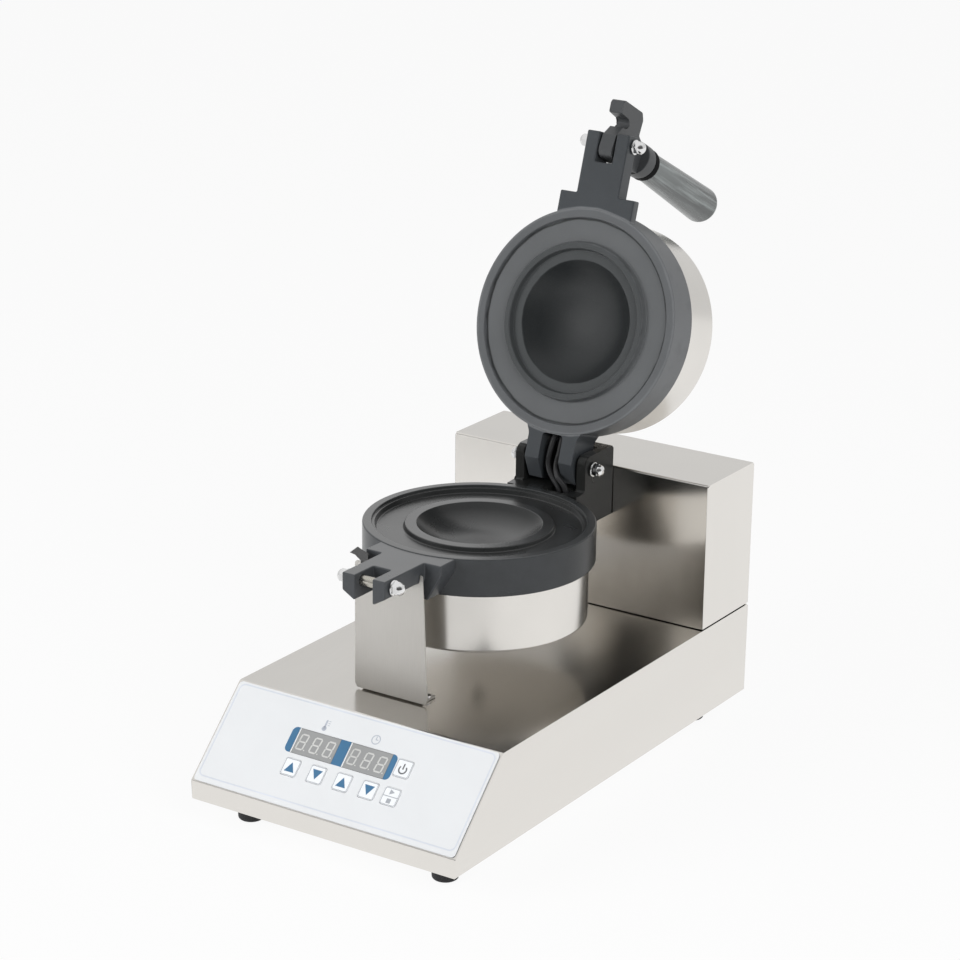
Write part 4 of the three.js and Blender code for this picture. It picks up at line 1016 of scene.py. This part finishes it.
def upper_casting():
    face = parting_z + gap
    deck = face + rim_proud
    back = face + mould_thickness
    body = plate("upper_casting", [
        (rim_inner - wall_draft, -upper_recess, upper_recess_fillet),
        (upper_ring_outer + wall_draft, -upper_recess, upper_ring_fillet),
        (upper_ring_outer, upper_ring_proud, ring_edge),
        (upper_ring_inner, upper_ring_proud, upper_ring_inner_edge),
        (upper_ring_inner - wall_draft, -upper_step, upper_step_fillet),
        (upper_bowl_radius, -upper_step, bowl_edge_round),
    ], upper_bowl_radius, -upper_step)
    moved(body, shift(0, mould_y, face) @ FLIP)
    front = moved(tongue("front", upper_tongue_reach, upper_shoulder_reach), shift(0, 0, deck) @ FLIP)
    boss = hinge_rise - face_z
    inner_y = mould_y + rim_inner - overlap
    knuckle = arc(boss, 20, (hinge_y, hinge_z), -lug_heel, math.pi / 2)[1:]
    heel = (hinge_y + boss * math.cos(lug_heel), hinge_z - boss * math.sin(lug_heel), lug_fillet)
    lug = prism("lug", outline([(inner_y, deck), (hinge_y, deck, lug_fillet), heel, *knuckle,
                                (inner_y, min(hinge_z + boss, back))]),
                "x", -lug_outer, lug_outer, lug_edge)
    root_y = mould_y + math.sqrt(mould_radius ** 2 - lug_outer ** 2)
    fillet = 2 * lug_root
    roots = prism("roots", outline([
        (-lug_outer - lug_root, root_y - lug_root), (lug_outer + lug_root, root_y - lug_root),
        (lug_outer, root_y + lug_root, fillet), (lug_outer, root_y + 3 * lug_root),
        (-lug_outer, root_y + 3 * lug_root), (-lug_outer, root_y + lug_root, fillet)]), "z", deck, back)
    slot_start, slot_end = mould_y + mould_radius + gap, hinge_y + boss + overrun
    slot = prism("slot", outline([(-lug_slot, slot_start, lug_corner), (lug_slot, slot_start, lug_corner),
                                  (lug_slot, slot_end), (-lug_slot, slot_end)]),
                 "z", deck - overrun, back + overrun + hinge_rise)
    extras = joined(front, lug, roots)
    cut(extras, recess_room(FLIP))
    joined(body, extras)
    cut(body, slot, bore(tongue_half, pin_y, lever_z), bore(lug_outer, hinge_y, hinge_z))
    dressed(body, "lid", upper_coat, "nonstick_cast", "upper_mould", matrix=LID)


def drums():
    depth = drum_end - mould_thickness - 2 * gap
    rim, inside = drum_bolt_rim - depth, drum_radius - drum_sheet
    profile = outline([(0, rim), (drum_bolt_hole, rim), (drum_bolt_hole, -depth),
                       (drum_radius, -depth, drum_edge), (drum_radius, 0), (inside, 0),
                       (inside, -drum_sheet), (0, -drum_sheet)])
    behind = mould_thickness + 2 * gap
    lower = moved(turned("drum_shell_lower", profile), shift(0, mould_y, parting_z - behind))
    upper = moved(turned("drum_shell_upper", profile), shift(0, mould_y, parting_z + behind) @ FLIP)
    dressed(lower, "base", drum_lower_steel, "stainless", "lower_drum")
    dressed(upper, "lid", drum_upper_steel, "stainless", "upper_drum", matrix=LID)


# Bracket, pins, nuts and screws
def bracket():
    low = base_height + gap
    seat = parting_z - gap - rim_proud
    top = seat - bracket_top_drop
    notch = tongue_half + 2 * gap
    side = seat - tongue_side - gap
    bed = seat - tongue_thickness - gap
    back = bracket_y + bracket_sheet
    wall = prism("bracket_plate", outline([
        (-bracket_left, low + bracket_bend, 2), (bracket_right, low + bracket_bend, 2),
        (bracket_right - bracket_taper, top, 1), (notch, top), (notch, side),
        (notch - tongue_chamfer, bed), (tongue_chamfer - notch, bed), (-notch, side),
        (-notch, top), (-bracket_left, top, 2)]), "y", bracket_y, back, bracket_edge)
    fold = prism("fold", outline([
        (bracket_y, low, bracket_bend), (bracket_y + bracket_foot, low),
        (bracket_y + bracket_foot, low + bracket_sheet),
        (back, low + bracket_sheet, bracket_bend - bracket_sheet),
        (back, low + 3 * bracket_bend), (bracket_y, low + 3 * bracket_bend)]),
        "x", bracket_corner - bracket_left, bracket_right - bracket_corner, bracket_edge)
    root = -notch - curl_foot_reach
    tip = Vector((root - curl_reach, seat - curl_tip_drop))
    heel = Vector((root - curl_foot_reach, top + curl_foot_drop))
    under = (tip + heel) / 2 + Vector((0, curl_sag))
    curl = prism("curl", outline([
        (root, top - bracket_sheet), (root, seat - curl_foot_drop, bracket_sheet),
        (root - curl_notch_reach, seat + curl_notch_rise), (root - curl_top_reach, seat + curl_rise),
        tip, under, heel, (heel.x, top - bracket_sheet)]), "y", bracket_y, back, bracket_edge)
    # The curl's stainless is painted dark: its shade and its reflection of the black casting are painted into
    # its colour.
    dressed(curl, "base", painted_shade_steel, "stainless", "front_bracket")
    corners = prism("corners", outline([
        (-bracket_left, low, bracket_corner), (bracket_right, low, bracket_corner),
        (bracket_right, low + 4 * bracket_bend), (-bracket_left, low + 4 * bracket_bend)]),
        "y", bracket_y, back, bracket_edge)
    above_bend = block("below", (-base_width, bracket_y - 1, low + 1),
                       (base_width, back + 1, low + 5 * bracket_bend))
    joined(wall, combined(corners, [above_bend], "INTERSECT"), fold)
    dressed(wall, "base", dull_steel, "stainless", "front_bracket")


def bracket_screws():
    seat = base_height + gap + bracket_sheet + gap
    radius, height = screw_head_radius, screw_head_height
    places = {"left": bracket_screw_inset - bracket_left, "right": bracket_right - bracket_screw_inset}
    for name, x in places.items():
        crown = dome(radius, height * screw_crown_share, height, 8)
        head = turned(f"screw_head_{name}", [(0, 0), (radius, 0), *crown], 64)
        cut(head, *[block("slot", (-u, -v, height * screw_slot_share), (u, v, height + overlap))
                    for u, v in (screw_slot_half, screw_slot_half[::-1])])
        moved(head, shift(x, bracket_y + bracket_screw_back, seat))
        dressed(head, "base", bright, "chrome", f"bracket_screw_{name}")


def domed_nut(name, side, x, y, z):
    """Domed flange nut, its flange at x and its dome away from the middle."""
    flats = nut_radius * math.cos(math.pi / 6)
    hex_end = nut_flange + nut_length * nut_hex_share
    crown = dome(flats, hex_end, nut_flange + nut_length, 10)
    cap = turned(name, [(0, nut_seat), (flats, nut_seat), *crown], 48)
    nut = bar("hexagon", nut_radius, "z", nut_seat, hex_end, (0, 0), nut_edge, 6)
    flange = turned("flange", outline([(0, 0), (nut_flange_radius, 0, nut_flange_foot_edge),
                                       (nut_flange_radius, nut_flange, nut_flange_edge),
                                       (0, nut_flange)], 3), 48)
    joined(cap, nut, flange)
    return moved(cap, shift(side * x, y, z) @ turn(side * math.pi / 2, "Y"))


def nuts():
    fork_x = tongue_half + 2 * gap
    rows = (("catch", fork_x, pin_y, catch_z, "base", CASE),
            ("hinge", ear_outer + 2 * gap, hinge_y, hinge_z, "base", CASE),
            ("lever", fork_x, pin_y, lever_z, "lid", LID))
    for name, side in SIDES.items():
        for kind, x, y, z, body, matrix in rows:
            nut = domed_nut(f"{kind}_cap_{name}", side, x, y, z)
            dressed(nut, body, bright, "chrome", f"{kind}_nut_{name}", matrix=matrix)


def pins():
    end = tongue_half + gap
    for kind, z, body, matrix in (("catch", catch_z, "base", CASE), ("lever", lever_z, "lid", LID)):
        pin = bar(f"{kind}_bar", pin_radius, "x", -end, end, (pin_y, z), pin_edge)
        dressed(pin, body, turned_steel, "steel", f"{kind}_pin", matrix=matrix)
    for name, side in SIDES.items():
        start = side * (lug_slot + gap)
        rows = ((f"hinge_bar_{name}", pin_radius, ear_outer + gap),
                ("head", hinge_head_radius, lug_slot + hinge_head))
        shank, head = [bar(title, radius, "x", *sorted((start, side * reach)), (hinge_y, hinge_z), pin_edge)
                       for title, radius, reach in rows]
        dressed(joined(shank, head), "base", turned_steel, "steel", f"hinge_pin_{name}")


# Lever and handle
def lever():
    reach = catch_drop + lever_rise
    mouth = pin_radius + mouth_clearance
    roof, floor_z = mouth - reach, -mouth - reach
    heel = floor_z - hook_under
    depth = -mouth - mouth_depth
    neck = collar_radius * neck_share
    shape = outline([
        (hub_radius, 0), (hub_radius, hub_rise, hub_front_corner),
        (-hub_radius, hub_rise, hub_back_corner),
        (-neck_end, neck + handle_offset), (-neck_end, -neck + handle_offset),
        (-hook_arm - neck_back, -neck_low, hook_corner),
        (-hook_arm - mouth, heel + hook_chamfer, hook_corner), (-hook_arm, heel, hook_corner),
        (hook_tip + hook_tip_slope, heel + hook_tip_slope, hook_tip_corner),
        (hook_tip, floor_z, hook_lip), (depth, floor_z, mouth_corner), (depth, roof, mouth_corner),
        (mouth / 2, roof, mouth_lip), (hub_radius, -hub_radius / 2, hub_fillet)], 8)
    body = prism("hook_lever", shape, "x", -lever_half, lever_half, lever_edge)
    collar_end = collar_start + collar_length
    collar = turned("collar", outline([(0, collar_start), (collar_radius, collar_start, collar_edge),
                                       (collar_radius, collar_end, collar_chamfer),
                                       (0, collar_end)], 5), 96)
    joined(body, moved(collar, TILT @ FORWARD))
    cut(body, bore(lever_half, 0, 0))
    dressed(body, "lever", lever_coat, "nonstick_cast", "latch_lever", matrix=LEVER)


def handle():
    washer_from = collar_start + collar_length + gap
    washer_to = washer_from + washer_length - gap
    ring = turned("grip_collar", outline([
        (washer_bore, washer_from), (washer_radius, washer_from, washer_edge),
        (washer_radius, washer_to, washer_edge), (washer_bore, washer_to)], 4), 96)
    dressed(moved(ring, FORWARD), "lever", phenolic_dark, "bakelite", "grip_washer", matrix=HANDLE)
    start = collar_start + collar_length + washer_length + gap
    end = start + grip_length
    flat = grip_end_radius - grip_dome
    profile = outline([(0, start), (grip_root_radius, start, grip_root_edge),
                       (grip_end_radius, end - grip_dome)], 5)
    crown = dome(grip_dome, end - grip_dome, end, 10, flat)[1:]
    grip = turned("grip", [*profile, *crown, (0, end)], 128)
    dressed(moved(grip, FORWARD), "lever", phenolic, "bakelite", "handle_grip", matrix=HANDLE)


# Panel
def printed(name, points, body, material, holes=(), top=film_top, slot="overlay_film"):
    """A thin print on the film, drawn on the slope, with holes."""
    layer = prism(name, points, "z", top, top + print_height)
    if holes:
        cut(layer, *[prism("hole", hole, "z", top - overrun, top + overrun) for hole in holes])
    dressed(layer, body, material, slot, matrix=PANEL)


def on_key(name, points, body, material, holes=()):
    """A thin print on a key."""
    printed(name, points, body, material, holes, key_top, "key_film")


def overlay():
    width, height = base_width - 2 * overlay_side, panel_length - 2 * overlay_end
    layer = prism("panel_film", rounded(0, panel_length / 2, width, height, overlay_corner), "z",
                  gap, film_top, overlay_edge, 2)
    cut(layer, *panel_holes(-overrun, film_top + overrun))
    dressed(layer, "base", film, "overlay_film", "control_overlay", matrix=PANEL)
    outer = rounded(0, border_s, border_width, border_height, border_corner, 8)
    inner = rounded(0, border_s, border_width - 2 * border_line, border_height - 2 * border_line,
                    border_inner_corner, 8)
    printed("panel_border", outer, "base", border_print, [inner])
    frame_shape = rounded(display_frame_x, window_s, display_frame_width, display_frame_height,
                          display_frame_corner, 8)
    printed("display_frame", frame_shape, "base", blue_print, window_openings())


def keys():
    names = ["temp_up", "temp_down", "time_up", "time_down", "power", "start"]
    for name, (x, s) in zip(names, key_spots()):
        cap = prism(f"key_cap_{name}", rounded(x, s, key_size, key_size, key_corner), "z",
                    -sheet - gap, key_top, key_edge)
        dressed(cap, name, key_film, "key_film", f"key_{name}", matrix=PANEL)
        outer, inner = key_size - key_line_outer, key_size - key_line_inner
        on_key(f"key_line_{name}", rounded(x, s, outer, outer, key_line_outer_corner), name, grey_print,
               [rounded(x, s, inner, inner, key_line_inner_corner)])
    for name, (x, s) in list(zip(names, key_spots()))[:4]:
        rise = 1 if name.endswith("up") else -1
        foot, tip = s - arrow_foot * rise, s + arrow_tip * rise
        on_key(f"key_arrow_{name}", outline([(x - arrow_half, foot), (x, tip), (x + arrow_half, foot)]),
               name, blue_print)
    power_mark(key_side_x, key_power_s)
    start_mark(key_side_x, key_row)


def ring_points(x, s, radius, width, start=0, end=full_turn - 0.01):
    """A band along an arc, which stays open by a hair when it goes all the way round."""
    outer, inner = [arc(reach, 28, (x, s), start, end) for reach in (radius, radius - width)]
    return outer + inner[::-1]


def power_mark(x, s):
    top, open_half = math.pi / 2, math.radians(48)
    radius, line, length, corner = 3.7, 1.1, 4.6, 0.2
    ring_drop, bar_rise = 0.8, 1.6
    ring = ring_points(x, s - ring_drop, radius, line, top + open_half, top + full_turn - open_half)
    on_key("key_mark_power_arc", ring, "power", dark_print)
    on_key("key_mark_power_bar", rounded(x, s + bar_rise, line, length, corner), "power", dark_print)


def start_mark(x, s):
    divider_line = 0.6
    run_back, run_ahead, run_half, mark_rise = 1.8, 2.2, 2.1, 3.5
    halt_size, halt_corner = 3.6, 0.3
    run_s = s + mark_rise
    marks = {"divider": rounded(x, s, key_size - key_line_inner, divider_line, 0),
             "run": outline([(x - run_back, run_s - run_half), (x + run_ahead, run_s),
                             (x - run_back, run_s + run_half)]),
             "halt": rounded(x, s - mark_rise, halt_size, halt_size, halt_corner)}
    for name, points in marks.items():
        on_key(f"key_mark_{name}", points, "start", grey_print)


SEGMENTS = {"a": (0, 1, "h"), "g": (0, 0, "h"), "d": (0, -1, "h"),
            "f": (-1, 0.5, "v"), "b": (1, 0.5, "v"), "e": (-1, -0.5, "v"), "c": (1, -0.5, "v")}


def digit_points(x, s, key):
    """A bar of a seven-bar digit, leaning a little to the right, mitred where bars meet."""
    across, up, kind = SEGMENTS[key]
    length = (digit_half if kind == "h" else digit_rise / 2) - digit_gap
    thick = digit_thick
    shape = [(-length, 0), (thick - length, thick), (length - thick, thick),
             (length, 0), (length - thick, -thick), (thick - length, -thick)]
    if kind == "v":
        shape = [(-v, u) for u, v in shape]
    right, above = across * digit_half, up * digit_rise
    return [(x + u + right + digit_lean * (v + above), s + v + above) for u, v in shape]


def displays():
    for name, x in window_xs.items():
        pane = prism(f"display_pane_{name}", rounded(x, window_s, window_width, window_height, window_corner),
                     "z", -sheet, film_top, window_edge, 2)
        dressed(pane, "base", window_grey, "display_lens", f"display_window_{name}", matrix=PANEL)
        bm = bmesh.new()
        for place in (-1, 0, 1):
            u, v = x + digit_shift + place * digit_pitch, window_s - digit_shift
            point = rounded(u + point_right, v - digit_rise, point_size, point_size, point_corner, 3)
            for points in [*(digit_points(u, v, key) for key in SEGMENTS), point]:
                push_out(bm, points, "z", film_top, film_top + print_height)
        dressed(new_object(f"display_digits_{name}", bm), "base", digit_pale, "display_lens", matrix=PANEL)
        line_x = x - window_width / 2 + window_line_inset
        printed(f"display_edge_{name}", rounded(line_x, window_s, window_line, window_height, 0),
                "base", white_print, slot="display_lens")


def symbols():
    """A plain thermometer and a plain clock over the two displays."""
    s = symbol_s
    bulb_radius, bulb_drop = 2, 2.6
    stem_width, stem_height, stem_rise, stem_corner = 1.5, 6.6, 1.2, 0.7
    tick_right, tick_rise, tick_pitch, tick_length, tick_line = 2.6, 0.4, 1.7, 1.8, 0.5
    clock_radius, clock_line = 3.9, 0.8
    hand_line, hand_corner = 0.7, 0.2
    long_hand, long_rise, short_hand, short_right = 2.8, 1.3, 2.4, 0.9
    shapes = {"bulb": ring_points(thermometer_x, s - bulb_drop, bulb_radius, bulb_radius),
              "stem": rounded(thermometer_x, s + stem_rise, stem_width, stem_height, stem_corner),
              **{f"tick_{index}": rounded(thermometer_x + tick_right, s + tick_rise + tick_pitch * index,
                                          tick_length, tick_line, 0) for index in range(3)},
              "clock": ring_points(clock_x, s, clock_radius, clock_line),
              "hand_long": rounded(clock_x, s + long_rise, hand_line, long_hand, hand_corner),
              "hand_short": rounded(clock_x + short_right, s, short_hand, hand_line, hand_corner)}
    for name, points in shapes.items():
        printed(f"symbol_{name}", points, "base", symbol_print)


# Leads across the hinge, as x, and y and z from the hinge's axis; the first points are on the lid
lead_routes = {
    "left": ([(-1.2, -33.7, 12.2), (-1.2, -26.7, 1.7), (-1.2, -20.2, -8.3)],
             [(-2.6, -6.2, 12.2), (-4.2, -7.2, 1.7), (-2.6, -8.2, -3.8), (-0.4, -9.2, -7.3),
              (3, -10.4, -10.9), (7, -11.7, -14.1), (10.2, -12.7, -18.3), (11.6, -12.3, -24.3),
              (11, -9.7, -29.8), (8.8, -2.7, -33), (8.8, 13.3, -33.1), (8.8, 31.3, -33.1),
              (8.8, 41.3, -33.1)]),
    "right": ([(6, -33.7, 12.2), (6, -26.7, 1.7), (6, -20.2, -8.3)],
              [(5.4, -6.2, 10.2), (3.8, -6.9, 3.2), (3.9, -8.3, -1.3), (5.6, -10.3, -4.9),
               (8.6, -12.9, -7.9), (12.2, -13.9, -10.5), (15.8, -14.5, -13.9), (17.6, -14.5, -18.7),
               (17.2, -13.2, -24.8), (16, -9.7, -30.3), (15.2, -2.7, -33), (15.2, 13.3, -33.1),
               (15.2, 31.3, -33.1), (15.2, 41.3, -33.1)]),
}


def leads():
    for name, (on_lid, on_base) in lead_routes.items():
        points = [turn(-lid_open) @ Vector(p) for p in on_lid] + [Vector(p) for p in on_base]
        lead = tube_mesh(f"lead_{name}", points, lead_radius)
        moved(lead, CASE @ shift(0, hinge_y, hinge_z))
        lead.data.materials.append(sleeve)
        lead.data.shade_smooth()
        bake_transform(lead)
        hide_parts(f"heater_lead_{name}")


# What stays as the frame has it
def dress_frame():
    hot = [f"{place}_{part}" for place in ("lower", "upper")
           for part in ("heater", "heater_clamp", "drum_bolt", "temperature_probe")]
    finishes = {
        steel_along_y: ["base_plate"],
        turned_steel: [*hot, "hinge_screw_left", "hinge_screw_right", "lever_stud"],
        black_plastic: ["power_inlet", "relay"],
        ceramic: ["terminal_block"],
        board_green: ["control_board"],
        grey_plastic: ["display_module_left", "display_module_right"],
    }
    for material, names in finishes.items():
        for name in names:
            data = frame["nodes"][name].data
            data.materials.clear()
            data.materials.append(material)


# Floor, world and lamps
WHITE = (1, 1, 1, 1)


def floor():
    bm = bmesh.new()
    size = 6
    bm.faces.new([bm.verts.new((x * size, y * size, 0)) for x, y in ((-1, -1), (1, -1), (1, 1), (-1, 1))])
    ground = new_object("floor", bm)
    recipe = Recipe(bpy.data.materials.new("pale_floor"))
    recipe.set(Base_Color=(0.86, 0.86, 0.86, 1), Roughness=0.9)
    glow = recipe.add("Emission", Color=WHITE)
    surface = recipe.choose(floor_glow(recipe), recipe.shader.outputs[0], glow.outputs[0])
    recipe.feed(recipe.nodes["Material Output"].inputs["Surface"], surface)
    ground.data.materials.append(recipe.owner)


def floor_glow(recipe):
    """How white the floor is where the camera looks; metal and glass see it end in front."""
    rays = recipe.add("LightPath").outputs
    split = recipe.add("SeparateXYZ", Vector=recipe.place)
    fade_far, fade_near = 0.26, 0.07
    near = recipe.ramp(split.outputs["Y"], low=0.02, high=0.93, start=cad_low.y - fade_far,
                       end=cad_low.y - fade_near)
    bounced = recipe.calculate("MAXIMUM", rays["Is Glossy Ray"], rays["Is Transmission Ray"])
    mirrored = recipe.calculate("MULTIPLY", bounced, near)
    straight = recipe.calculate("MULTIPLY", rays["Is Camera Ray"], 0.92)
    return recipe.calculate("MAXIMUM", mirrored, straight)


def world():
    """White backdrop, soft even light, and a dim side of the room that only metal mirrors."""
    dim_side = (0.55, -0.835, 0)
    scene_world = bpy.data.worlds.new("studio")
    bpy.context.scene.world = scene_world
    recipe = Recipe(scene_world)
    direction = recipe.coordinates.outputs["Generated"]
    split = recipe.add("SeparateXYZ", Vector=direction)
    towards = recipe.calculate("DOT_PRODUCT", direction, dim_side, kind="VectorMath")
    walls = recipe.ramp(towards, low=0.74, high=0.1, start=0.24, end=0.62)
    ceiling = recipe.ramp(split.outputs["Z"], low=0, high=0.15, start=0.5, end=0.8)
    soft = recipe.nodes["Background"]
    recipe.feed(soft.inputs["Color"], WHITE)
    recipe.feed(soft.inputs["Strength"], 0.36)
    room = recipe.add("Background", Color=WHITE, Strength=recipe.calculate("ADD", walls, ceiling))
    white = recipe.add("Background", Color=WHITE)
    rays = recipe.add("LightPath").outputs
    reflected = recipe.choose(rays["Is Glossy Ray"], soft.outputs[0], room.outputs[0])
    seen = recipe.choose(rays["Is Camera Ray"], reflected, white.outputs[0])
    recipe.feed(recipe.nodes["World Output"].inputs["Surface"], seen)


def lamp(name, place, target, size, power):
    """A soft square lamp that points at a target and leaves no spot on metal."""
    data = bpy.data.lights.new(name, "AREA")
    data.size = size
    data.energy = power
    light = bpy.data.objects.new(name, data)
    bpy.context.scene.collection.objects.link(light)
    light.location = place
    light.rotation_euler = (target - place).to_track_quat("-Z", "Y").to_euler()
    light.visible_camera = False
    light.visible_glossy = False


def lamps():
    middle = (cad_low + cad_high) / 2
    lamp("key_lamp", middle + Vector((-1.45, -2.3, 0.75)), middle, size=1.7, power=56)
    lamp("fill_lamp", middle + Vector((1.9, -0.9, 1.1)), middle, size=1.4, power=28)


for build in (camera, case_shell, rear_case, feet, lower_casting, upper_casting, drums, bracket,
              bracket_screws, nuts, pins, lever, handle, overlay, keys, displays, symbols, leads,
              dress_frame, floor, world, lamps):
    build()

bpy.context.scene.view_settings.view_transform = "Standard"
